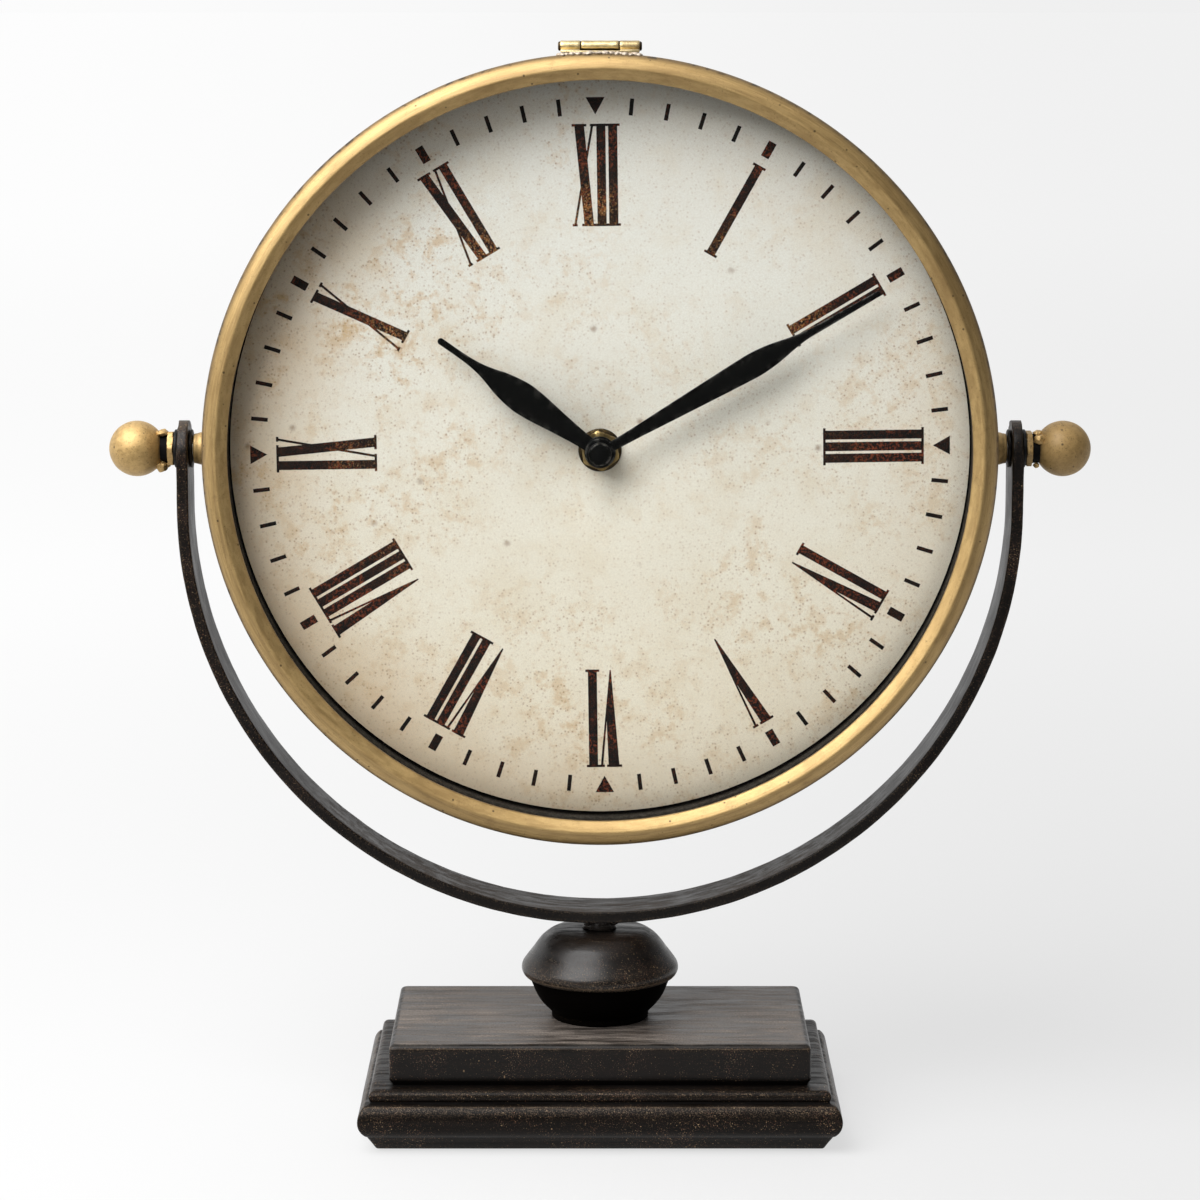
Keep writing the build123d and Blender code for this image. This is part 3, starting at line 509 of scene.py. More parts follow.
# the plinth's pale top tone is partly dust and partly painted sheen
WOOD_PLINTH = dark_paint("dark_wood_plinth", brush=(40, 520, 700), gloss=(0.25, 0.42), speck=0.80, sheen=0.21, rub_and_highlight_amount=0.50, dust_and_sheen_amount=1.0, dust_and_sheen_tone=(0.235, 0.199, 0.171))
WOOD_MOULD = dark_paint("dark_wood_moulding", brush=(30, 90, 700), gloss=(0.25, 0.36), speck=1.0, dust_and_sheen_amount=0.05, sheen=0.11, rub_and_highlight_amount=0.60)
WOOD_TURNED = dark_paint("dark_wood_turned", brush=(60, 60, 420), gloss=(0.24, 0.35), speck=1.0, sheen=0.30, dust_and_sheen_amount=0.05, rub_and_highlight_amount=0.80, lush=0.022,
                         place=lambda m: m.mul(m.span(m.xyz()[2], 0.0470, 0.0490), m.span(m.xyz()[2], 0.0595, 0.0525, 0.25, 1.0), m.span(m.xyz()[0], -0.006, 0.004, 0.35, 1.0)))
# a near-black copy of the wood paint for the pedestal's bowl: painted shade under the rim
WOOD_SHADE = dark_paint("dark_wood_undercut_painted_shade", tint=(0.0007, 0.0005, 0.0004), gloss=(0.45, 0.55), brush=(60, 60, 420), speck=0.08, sheen=0.01, dust_and_sheen_amount=0.0)
# the top tone lightens the yoke's inner face: partly dust, partly painted sheen
IRON = dark_paint("dark_iron_bar", tint=(0.0022, 0.0016, 0.0013), gloss=(0.30, 0.44), brush=(90, 420, 90), speck=1.0, sheen=0.20, rub_and_highlight_amount=0.35, dust_and_sheen_amount=0.9, dust_and_sheen_tone=(0.088, 0.066, 0.050), lush=0.014,
                  place=lambda m: m.span(m.xyz()[2], 0.085, 0.185, 0.10, 1.0))
# lighter grey than the bar: partly bare weld, partly painted light that lifts it out of the yoke's shadow
WELD = dark_paint("dark_iron_weld", tint=(0.0340, 0.0285, 0.0245), gloss=(0.28, 0.42), brush=(260, 260, 260), speck=0.4, sheen=0.50, dust_and_sheen_amount=0.1)
PAPER = dial_paper()
INK = print_ink()
# the grey edge colour is a painted highlight on the hands' bevels
HAND = satin_black("hand_black_satin", tone=0.0018, rough=(0.30, 0.42), spec=0.10, edge=(0.200, 0.190, 0.175))
# near-black for the knob necks: painted shade between ball and nut
NECK_SHADE = satin_black("neck_black_painted_shade", tone=0.0026, rough=(0.55, 0.70), spec=0.05)
WASHER = satin_black("washer_black_worn", tone=0.0030, rough=(0.42, 0.56), spec=0.18)
SHEET = case_sheet()
POWDER = powder_black()
SURROUND = surround()
GLASS = clear_glass()
FELT = felt()
STEEL = metal("steel_zinc", (0.62, 0.61, 0.58), (0.42, 0.41, 0.39), stain=(0.30, 0.26, 0.21))
BRASS = metal("brass_dull", (0.60, 0.44, 0.20), (0.40, 0.28, 0.115), stain=(0.130, 0.085, 0.035), amount=0.75)
PLASTIC = plastic("movement_black_plastic", (0.0150, 0.0148, 0.0145), (0.0095, 0.0094, 0.0092))
GEAR = plastic("gear_white_plastic", (0.72, 0.70, 0.65), (0.60, 0.58, 0.53), rough=(0.34, 0.46))
CELL = cell_label()
BOARD = board()
COIL = coil_wire()


# ----------------------------------------------------------------------------
# mesh helpers; lengths in millimetres until placed
# ----------------------------------------------------------------------------

def on_table(x, y, z):
    return (x * MM, y * MM, z * MM)


def on_case(x, y, z):
    """x right, y up from the dial's axis, z towards the viewer."""
    return (x * MM, -z * MM, (PIVOT + y) * MM)


def about_z(a, b, h):
    return on_table(a, b, h)


def about_dial(a, b, h):
    return on_case(a, b, h)


def about_pivot(side):
    def put(a, b, h):
        return on_table(side * h, a, PIVOT + b)
    return put


def about_hinge(a, b, h):
    return on_case(h, 127.2 + a, 12.0 + b)


def wob(p, scale, seed=0.0):
    """Smooth noise in -1..1 at a point in millimetres."""
    return noise.noise(Vector((p[0] / scale + seed, p[1] / scale - seed, p[2] / scale + 0.37 * seed)))


class Mesh:
    def __init__(self):
        # point attributes: one for rubbed and chipped edges and for the crests and bevels that get a painted highlight,
        # one for grime in hollows and for the recesses, undercuts and joints that get painted shade
        self.v, self.f, self.a = [], [], {"wear_and_highlight": [], "hollow_grime_and_shade": []}

    def point(self, p, wear_and_highlight=0.0, hollow_grime_and_shade=0.0):
        self.v.append(p)
        self.a["wear_and_highlight"].append(wear_and_highlight)
        self.a["hollow_grime_and_shade"].append(hollow_grime_and_shade)
        return len(self.v) - 1

    def lathe(self, profile, n, place, closed=True, shift=None):
        """profile: (r, h) or (r, h, rub-and-highlight amount, grime-and-shade amount); shift(r, h, angle) gives (dr,
        dh).
        """
        rings = []
        for q in profile:
            r, h = q[0], q[1]
            w, c = (q[2], q[3]) if len(q) > 3 else (0.0, 0.0)
            if r < 1e-6:
                rings.append([self.point(place(0, 0, h), w, c)])
                continue
            ring = []
            for i in range(n):
                t = 2 * math.pi * i / n
                dr, dh = shift(r, h, t) if shift else (0.0, 0.0)
                ring.append(self.point(place((r + dr) * math.cos(t), (r + dr) * math.sin(t), h + dh), w, c))
            rings.append(ring)
        pairs = list(zip(rings, rings[1:])) + ([(rings[-1], rings[0])] if closed else [])
        for a, b in pairs:
            self.bridge(a, b)
        return self

    def bridge(self, a, b, loop=True):
        if len(a) == 1 and len(b) == 1:
            return
        n = max(len(a), len(b))
        for i in range(n if loop else n - 1):
            j = (i + 1) % n
            if len(a) == 1:
                self.f.append((a[0], b[j], b[i]))
            elif len(b) == 1:
                self.f.append((a[i], a[j], b[0]))
            else:
                self.f.append((a[i], a[j], b[j], b[i]))

    def solid(self, bm, place, wear_and_highlight=0.0, hollow_grime_and_shade=0.0):
        """Adds a bmesh, its points in millimetres."""
        base = len(self.v)
        bm.verts.ensure_lookup_table()
        bm.verts.index_update()
        for v in bm.verts:
            self.point(place(*v.co), wear_and_highlight(v.co) if callable(wear_and_highlight) else wear_and_highlight, hollow_grime_and_shade)
        for f in bm.faces:
            self.f.append(tuple(base + v.index for v in f.verts))
        bm.free()
        return self

    def box(self, x0, x1, y0, y1, z0, z1, place, r=0.3, seg=3, shift=None, cuts=0, wear_and_highlight=0.0):
        bm = bmesh.new()
        bmesh.ops.create_cube(bm, size=1.0)
        for v in bm.verts:
            v.co = ((x0 + x1) / 2 + v.co.x * (x1 - x0), (y0 + y1) / 2 + v.co.y * (y1 - y0), (z0 + z1) / 2 + v.co.z * (z1 - z0))
        bmesh.ops.bevel(bm, geom=list(bm.edges), offset=r, segments=seg, profile=0.5, affect="EDGES")
        if cuts:
            long = [e for e in bm.edges if e.calc_length() > 3 * r]
            bmesh.ops.subdivide_edges(bm, edges=long, cuts=cuts, use_grid_fill=True)
        if shift:
            for v in bm.verts:
                v.co += Vector(shift(v.co))
        return self.solid(bm, place, wear_and_highlight)

    def hexagon(self, across, h0, h1, place, bore=0.0, cham=0.35, turn=0.0):
        """Hexagon prism along h with chamfered corners."""
        rows = [(h0, -cham * 0.55), (h0 + cham * 0.5, 0.0), (h1 - cham * 0.5, 0.0), (h1, -cham * 0.55)]
        n = 72
        rings = []
        for h, inset in rows:
            ring = []
            for i in range(n):
                t = 2 * math.pi * i / n
                k = (t + math.pi / 6) % (math.pi / 3) - math.pi / 6
                r = across / 2 / math.cos(k)
                r = min(r, across / 2 * 1.125)
                if inset:
                    r = min(r, across / 2 * 1.02 + 0.0)
                ring.append(self.point(place(r * math.cos(t + turn), r * math.sin(t + turn), h), 0.5 if inset else 0.15))
            rings.append(ring)
        if bore:
            rings.append([self.point(place(bore * math.cos(2 * math.pi * i / n + turn), bore * math.sin(2 * math.pi * i / n + turn), h1)) for i in range(n)])
            rings.append([self.point(place(bore * math.cos(2 * math.pi * i / n + turn), bore * math.sin(2 * math.pi * i / n + turn), h0)) for i in range(n)])
            for a, b in zip(rings, rings[1:] + rings[:1]):
                self.bridge(a, b)
        else:
            c1, c0 = [self.point(place(0, 0, h1))], [self.point(place(0, 0, h0))]
            for a, b in zip([c0] + rings, rings + [c1]):
                self.bridge(a, b)
        return self

    def blob(self, c, size, place, seed, amp=0.22, sub=3, wear_and_highlight=0.0):
        """A lump of weld or solder."""
        bm = bmesh.new()
        bmesh.ops.create_icosphere(bm, subdivisions=sub, radius=1.0)
        for v in bm.verts:
            d = v.co.normalized()
            k = 1.0 + amp * noise.noise(d * 1.7 + Vector((seed, 2 * seed, -seed))) + 0.4 * amp * noise.noise(d * 4.1 + Vector((-seed, seed, 3 * seed)))
            v.co = Vector((c[0] + d.x * size[0] * k, c[1] + d.y * size[1] * k, c[2] + d.z * size[2] * k))
        return self.solid(bm, place, wear_and_highlight)

    def flat(self, loops, z0, z1, place, keep, wear_and_highlight=0.0):
        """A thin plate between z0 and z1: the loops' edges cut it up, and keep(x, y) says what stays."""
        pts, edges = [], []
        for loop in loops:
            base = len(pts)
            pts += [Vector(p) for p in loop]
            edges += [(base + i, base + (i + 1) % len(loop)) for i in range(len(loop))]
        vs, _, tris = delaunay_2d_cdt(pts, edges, [], 0, 1e-6)[:3]
        tris = [t for t in tris if keep(*(sum((vs[i] for i in t), Vector((0, 0))) / len(t)))]
        used = sorted({i for t in tris for i in t})
        front = {i: self.point(place(vs[i].x, vs[i].y, z1), wear_and_highlight) for i in used}
        back = {i: self.point(place(vs[i].x, vs[i].y, z0), wear_and_highlight) for i in used}
        seen = {}
        for t in tris:
            self.f.append(tuple(front[i] for i in t))
            self.f.append(tuple(back[i] for i in reversed(t)))
            for i, j in zip(t, t[1:] + t[:1]):
                seen[(i, j)] = True
        for i, j in seen:
            if (j, i) not in seen:
                self.f.append((front[i], back[i], back[j], front[j]))
        return self

    def make(self, name, body, slot, mat, replaces=(), sharp=38.0, recalc=True):
        me = bpy.data.meshes.new(name)
        me.from_pydata([Vector(p) for p in self.v], [], self.f)
        if recalc:
            bm = bmesh.new()
            bm.from_mesh(me)
            bmesh.ops.recalc_face_normals(bm, faces=list(bm.faces))
            bm.to_mesh(me)
            bm.free()
        me.polygons.foreach_set("use_smooth", [True] * len(me.polygons))
        me.set_sharp_from_angle(angle=math.radians(sharp))
        for key, vals in self.a.items():
            at = me.attributes.new(key, "FLOAT", "POINT")
            at.data.foreach_set("value", vals)
        me.materials.append(mat)
        me.update()
        ob = bpy.data.objects.new(name, me)
        scene.collection.objects.link(ob)
        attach(ob, body)
        if replaces:
            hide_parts(*replaces)
        return ob


def smooth_line(pts, step):
    """Points along a Catmull-Rom curve through pts, about step apart; each keeps its extra numbers, interpolated."""
    out = []
    n = len(pts)
    for i in range(n - 1):
        p0, p1, p2, p3 = pts[max(i - 1, 0)], pts[i], pts[i + 1], pts[min(i + 2, n - 1)]
        length = math.dist(p1[:2], p2[:2])
        k = max(1, int(round(length / step)))
        for s in range(k):
            t = s / k
            q = []
            for c in range(len(p1)):
                if c < 2:
                    q.append(0.5 * (2 * p1[c] + (p2[c] - p0[c]) * t + (2 * p0[c] - 5 * p1[c] + 4 * p2[c] - p3[c]) * t * t
                                    + (3 * p1[c] - p0[c] - 3 * p2[c] + p3[c]) * t ** 3))
                else:
                    q.append(p1[c] + (p2[c] - p1[c]) * t)
            out.append(tuple(q))
    out.append(tuple(pts[-1]))
    return out


def arc(c, r, a0, a1, k):
    return [(c[0] + r * math.cos(math.radians(a0 + (a1 - a0) * i / k)), c[1] + r * math.sin(math.radians(a0 + (a1 - a0) * i / k))) for i in range(k + 1)]


def circle(r, n, x=0.0, y=0.0):
    return [(x + r * math.cos(2 * math.pi * i / n), y + r * math.sin(2 * math.pi * i / n)) for i in range(n)]


def inside(poly, x, y):
    hit = False
    j = len(poly) - 1
    for i in range(len(poly)):
        xi, yi = poly[i]
        xj, yj = poly[j]
        if (yi > y) != (yj > y) and x < (xj - xi) * (y - yi) / (yj - yi) + xi:
            hit = not hit
        j = i
    return hit


# ----------------------------------------------------------------------------
# base
# ----------------------------------------------------------------------------

HX, HY = 67.2, 36.6


def loop_points(hx, hy, rad, nx, ny, nc):
    """A rounded rectangle, anticlockwise from above."""
    pts = []
    for (sx, sy), a0 in (((1, -1), -90), ((1, 1), 0), ((-1, 1), 90), ((-1, -1), 180)):
        pts += [(sx * (hx - rad) + rad * math.cos(math.radians(a0 + 90 * i / nc)), sy * (hy - rad) + rad * math.sin(math.radians(a0 + 90 * i / nc))) for i in range(nc + 1)]
        n = ny if (sx, sy) in ((1, -1), (-1, 1)) else nx
        nxt = {(1, -1): (1, 1), (1, 1): (-1, 1), (-1, 1): (-1, -1), (-1, -1): (1, -1)}[(sx, sy)]
        p = pts[-1]
        b0 = a0 + 90
        q = (nxt[0] * (hx - rad) + rad * math.cos(math.radians(b0)), nxt[1] * (hy - rad) + rad * math.sin(math.radians(b0)))
        pts += [(p[0] + (q[0] - p[0]) * i / n, p[1] + (q[1] - p[1]) * i / n) for i in range(1, n)]
    return pts


def stacked(rows, name, mat, replaces, top=True, bottom=True, rad=0.6, jig=0.10, holes=None, sharp=34.0):
    """Rounded rectangles stacked by (offset, z, rub-and-highlight amount, grime-and-shade amount), with a hand-finished
    waviness.
    """
    m = Mesh()
    rings = []
    for off, z, w, c in rows:
        ring = []
        for x, y in loop_points(HX + off, HY + off, rad, 70, 40, 4):
            d = jig * (0.5 + 0.5 * wob((x, y, 3 * z), 17.0, 3.0)) + 0.4 * jig * (0.5 + 0.5 * wob((x, y, 4 * z), 4.0, 8.0))
            ring.append(m.point(on_table(x - d * (1 if abs(x) > HX + off - 1 else 0) * math.copysign(1, x),
                                         y - d * (1 if abs(y) > HY + off - 1 else 0) * math.copysign(1, y),
                                         z - 0.35 * d * (1 if 0 < c < 0.5 else 0)), w, c))
        rings.append(ring)
    for a, b in zip(rings, rings[1:]):
        m.bridge(a, b)
    if top:
        m.f.append(tuple(rings[-1]))
    if bottom and not holes:
        m.f.append(tuple(reversed(rings[0])))
    if holes:
        z = rows[0][1]
        outer = [(m.v[i][0] / MM, m.v[i][1] / MM) for i in rings[0]]
        circles = [circle(r, 40, x, y) for x, y, r, _ in holes]
        pts = [Vector(p) for p in outer] + [Vector(p) for c in circles for p in c]
        edges, base = [], 0
        for loop in [outer] + circles:
            edges += [(base + i, base + (i + 1) % len(loop)) for i in range(len(loop))]
            base += len(loop)
        vs, _, tris, orig = delaunay_2d_cdt(pts, edges, [], 0, 1e-6)[:4]
        ids = {}
        for i, p in enumerate(vs):
            src = orig[i][0] if orig[i] else -1
            ids[i] = rings[0][src] if 0 <= src < len(outer) else m.point(on_table(p.x, p.y, z), 0.0, 0.5)
        for t in tris:
            c = sum((vs[i] for i in t), Vector((0, 0))) / 3
            if inside(outer, c.x, c.y) and not any(math.hypot(c.x - x, c.y - y) < r * 0.997 for x, y, r, _ in holes):
                m.f.append(tuple(ids[i] for i in reversed(t)))
        back = {}
        for i, p in enumerate(vs):
            if orig[i] and orig[i][0] >= len(outer):
                back[orig[i][0]] = ids[i]
        start = len(outer)
        for (x, y, r, depth), c in zip(holes, circles):
            low = [back[start + k] for k in range(len(c))]
            high = [m.point(on_table(px, py, depth), 0.0, 0.8) for px, py in c]
            m.bridge(low, high)
            m.bridge(high, [m.point(on_table(x, y, depth), 0.0, 0.8)])
            start += len(c)
    return m.make(name, "stand", "dark_wood", mat, replaces, sharp=sharp)


# rows (offset, z, rub-and-highlight amount, grime-and-shade amount): painted shade in the tuck under the half-round, in
# a band across it, in the groove above it and on the ledge under the plinth; the rubbing with its painted highlight
# sits on the half-round's upper, lit side
prof = [(4.0, 0.8, 0.1, 0.0), (4.3, 1.1, 0.15, 0.0), (5.4, 3.0, 0, 0), (6.85, 5.3, 0.1, 0.0), (7.05, 5.52, 0.0, 0.55), (7.5, 5.75, 0.0, 0.35)]
for i in range(15):
    t = i / 14
    # half-round through (7.6, 5.8), (9.75, 10.7), (7.6, 15.6)
    prof.append((9.75 - 6.66 + 6.66 * math.cos(math.radians(-47.4 + 94.8 * t)), 10.7 + 6.66 * math.sin(math.radians(-47.4 + 94.8 * t)), (0.86 if t > 0.96 else 0.80 if t > 0.80 else 0.55 if t > 0.70 else 0.30 if t > 0.60 else 0.05), (0.45 if 0.60 < t <= 0.72 else 0.0)))
prof += [(7.2, 15.78, 0.1, 0.25), (6.35, 15.95, 0.0, 0.8), (5.9, 16.2, 0.0, 1.0), (5.78, 16.6, 0.0, 0.9), (5.95, 17.0, 0.0, 0.5), (6.12, 17.3, 0.1, 0.2), (6.28, 17.9, 0.15, 0.1),
         (6.25, 18.4, 0.2, 0.0), (6.08, 18.9, 0.60, 0.0), (5.82, 19.3, 0.66, 0.0), (5.5, 19.65, 0.35, 0.2), (5.0, 19.95, 0.3, 0.0), (4.5, 20.12, 0.1, 0.1), (4.0, 20.2, 0.0, 0.25), (2.0, 20.2, 0.0, 0.5), (0.3, 20.2, 0.0, 0.95), (-1.2, 20.2, 0.0, 1.0)]
stacked(prof, "base_moulding_shaped", WOOD_MOULD, ("base_moulding",), rad=0.7, jig=0.12,
        holes=[(0, 0, 8.6, 9.2), (-45, 0, 4.5, 6.0), (45, 0, 4.5, 6.0)])

# rows (offset, z, rub-and-highlight amount, grime-and-shade amount): painted shade in the recess under the plinth and
# on the fillet's upper part, and a painted highlight line with rubbing along the fillet's lower edge
rows = [(-0.95, 20.2, 0.0, 1.0), (-0.85, 20.6, 0.0, 1.0), (-0.5, 21.2, 0.0, 1.0), (-0.15, 21.65, 0.0, 0.9), (0.0, 22.1, 0.0, 0.25), (0.0, 24.0, 0.0, 0.0), (0.0, 28.0, 0.0, 0.0), (0.0, 31.0, 0.05, 0.0), (0.0, 31.35, 0.15, 0.0)]
for i in range(1, 9):
    a = math.radians(90 * i / 8)
    rows.append((-2.0 + 2.0 * math.cos(a), 31.5 + 2.0 * math.sin(a), (0.45, 0.96, 0.35, 0.1, 0.0, 0.0, 0.0, 0.0)[i - 1], (0.0, 0.0, 0.2, 0.75, 0.95, 0.9, 0.5, 0.0)[i - 1]))
rows += [(-3.2, 33.5, 0.1, 0.0), (-6.0, 33.5, 0.0, 0.0)]
stacked(rows, "plinth_shaped", WOOD_PLINTH, ("plinth",), rad=1.2, jig=0.08)

# rows (radius, z, rub-and-highlight amount, grime-and-shade amount): painted shade on the foot, in the bowl under the
# rim and in the hollow under the weld; a painted highlight line with rubbing along the rim's crest
ped = [(3.3, 33.5, 0, 0), (15.6, 33.5, 0, 0.9), (15.8, 33.6, 0, 0.9)]
ped += [(15.84, 34.3, 0, 0.8), (15.9, 35.4, 0.15, 0.6)]
ped += smooth_line([(15.9, 35.4, 0.1, 0.7), (17.3, 36.9, 0, 0.9), (19.2, 38.9, 0, 1.0), (20.9, 41.5, 0, 1.0), (22.2, 44.6, 0, 1.0), (23.0, 46.7, 0, 1.0)], 0.45)[1:]
ped += [(23.2, 46.95, 0, 0.8), (23.9, 47.3, 0, 0.5), (24.55, 47.6, 0.4, 0.0)]
ped += smooth_line([(24.55, 47.6, 0.4, 0), (25.0, 48.1, 0.84, 0), (25.3, 48.6, 0.88, 0), (25.5, 49.2, 0.7, 0), (25.6, 49.8, 0.6, 0), (25.35, 51.1, 0.45, 0), (24.4, 52.6, 0.25, 0), (21.9, 55.9, 0, 0), (18.9, 59.8, 0, 0), (15.2, 62.2, 0.1, 0), (10.6, 62.8, 0.1, 0)], 0.4)[1:]
ped += [(7.0, 62.8, 0, 0.5), (3.3, 62.8, 0, 0.8)]
turned = Mesh().lathe(ped, 160, about_z, shift=lambda r, h, t: (-0.14 * (0.5 + 0.5 * wob((r * math.cos(t), r * math.sin(t), 2.2 * h), 7.0, 1.0)) if r > 4 else 0.0, 0.0)).make(
    "pedestal_turned", "stand", "dark_wood", WOOD_TURNED, ("pedestal",), sharp=42)
# the bowl under the rim takes the near-black copy: painted shade
turned.data.materials.append(WOOD_SHADE)
for f in turned.data.polygons:
    if f.center.z < 0.0472 and math.hypot(f.center.x, f.center.y) > 0.0150:
        f.material_index = 1

# ----------------------------------------------------------------------------
# yoke, bent from flat bar
# ----------------------------------------------------------------------------

RO, T, HW = 134.5, 3.9, 10.0
BEND = PIVOT - 19.1
END_C = PIVOT + 9.0 - HW

stations = []          # (x, z of the outer face, outward x, outward z, half width)
for i in range(13):
    a = math.radians(90.0 - 90.0 * i / 12)
    stations.append((-RO, END_C + HW * math.sin(a), -1.0, 0.0, max(HW * math.cos(a), 0.35)))
for i in range(1, 8):
    stations.append((-RO, END_C + (BEND - END_C) * i / 8, -1.0, 0.0, HW))
for i in range(0, 181):
    a = math.radians(180.0 + i)
    stations.append((RO * math.cos(a), BEND + RO * math.sin(a), math.cos(a), math.sin(a), HW))
for x, z, nx, nz, w in stations[:20][::-1]:
    stations.append((-x, z, -nx, nz, w))

EDGE = 0.55


def bar_section(w):
    """Rounded rectangle: (depth below the outer face, place across the width, rub-and-highlight amount)."""
    e = min(EDGE, 0.45 * w)
    k = 10
    pts = [(0.0, -w + e + (2 * w - 2 * e) * i / k, 0.0) for i in range(k + 1)]
    for c, a0 in (((e, w - e), 0), ((T - e, w - e), 90)):
        for i in range(1, 4):
            a = math.radians(a0 + 90 * i / 4)
            pts.append((c[0] - e * math.cos(a), c[1] + e * math.sin(a), 1.0 if i == 2 else 0.7))
        if a0 == 0:
            pts += [(e + (T - 2 * e) * i / 4, w, 0.7 if i in (0, 4) else 0.1) for i in range(0, 5)]
    pts += [(T, w - e - (2 * w - 2 * e) * i / k, 0.0) for i in range(k + 1)]
    for c, a0 in (((T - e, -w + e), 180), ((e, -w + e), 270)):
        for i in range(1, 4):
            a = math.radians(a0 + 90 * i / 4)
            pts.append((c[0] - e * math.cos(a), c[1] + e * math.sin(a), 1.0 if i == 2 else 0.7))
        if a0 == 180:
            pts += [(T - e - (T - 2 * e) * i / 4, -w, 0.7 if i in (0, 4) else 0.1) for i in range(0, 5)]
    return pts


m = Mesh()
rings = []
for s, (x, z, nx, nz, w) in enumerate(stations):
    ring = []
    for d, y, wear_and_highlight in bar_section(w):
        p = (x - nx * d, y, z - nz * d)
        j = 0.14 * (0.5 + 0.5 * wob(p, 7.0, 2.0)) + 0.09 * (0.5 + 0.5 * wob(p, 2.6, 5.0))
        top = max(0.0, min(1.0, (z - PIVOT + 3.0) / 6.0))
        j += top * (0.40 * (0.5 + 0.5 * wob(p, 3.1, 11.0)) + 0.25 * max(0.0, wob(p, 1.7, 15.0)))
        wear_and_highlight = min(0.75, wear_and_highlight + 0.45 * top)
        mid = T / 2
        dd = d + (j if d < mid else -j)
        yy = y - math.copysign(0.7 * j, y) if abs(y) > 0.5 * w else y
        ring.append(m.point(on_table(x - nx * dd, yy, z - nz * dd), wear_and_highlight))
    rings.append(ring)
for a, b in zip(rings, rings[1:]):
    m.bridge(a, b)
m.f.append(tuple(rings[0]))
m.f.append(tuple(reversed(rings[-1])))
m.make("yoke_bar", "stand", "dark_iron", IRON, ("yoke",), sharp=50)

# weld under the yoke
m = Mesh()
# last two numbers: rubbed amount, and painted shade where the weld meets the pedestal and the bar
weld = [(3.1, 62.8, 0, 0.8), (5.3, 62.8, 0, 0.6), (5.6, 63.1, 0, 0.2), (5.0, 63.7, 0.2, 0), (4.7, 64.6, 0.1, 0), (4.9, 65.6, 0.1, 0), (5.5, 66.35, 0.2, 0.2), (5.6, 66.9, 0, 0.5), (3.1, 66.9, 0, 0.8)]
m.lathe(smooth_line(weld, 0.35), 72, about_z, shift=lambda r, h, t: ((0.85 * wob((6 * math.cos(t), 6 * math.sin(t), 1.5 * h), 2.4, 4.0) - 0.25) if r > 4 else 0.0, 0.0))
for i in range(9):
    a = 2 * math.pi * (i + 0.3) / 9 + 0.25 * math.sin(5.1 * i)
    m.blob((5.1 * math.cos(a), 5.1 * math.sin(a), 65.9 - 0.5 * (i % 3)), (1.25, 1.25, 0.85), about_z, 3.0 + 1.7 * i, amp=0.3)
m.make("yoke_weld", "stand", "dark_iron", WELD, ("yoke_boss",), sharp=60)

# ----------------------------------------------------------------------------
# pivots
# ----------------------------------------------------------------------------

m = Mesh()
for side in (-1, 1):
    for a, b in ((129.9, 130.6), (134.5, 135.6)):
        m.lathe([(2.8, a), (5.85, a, 0.3, 0), (6.03, a + 0.1, 0.6, 0), (6.1, a + 0.25, 0.5, 0), (6.1, b - 0.25, 0.5, 0), (6.03, b - 0.1, 0.6, 0), (5.85, b, 0.3, 0), (2.8, b)], 64, about_pivot(side))
m.make("pivot_washers_round", "stand", "washer_black", WASHER, ("pivot_washers",), sharp=50)

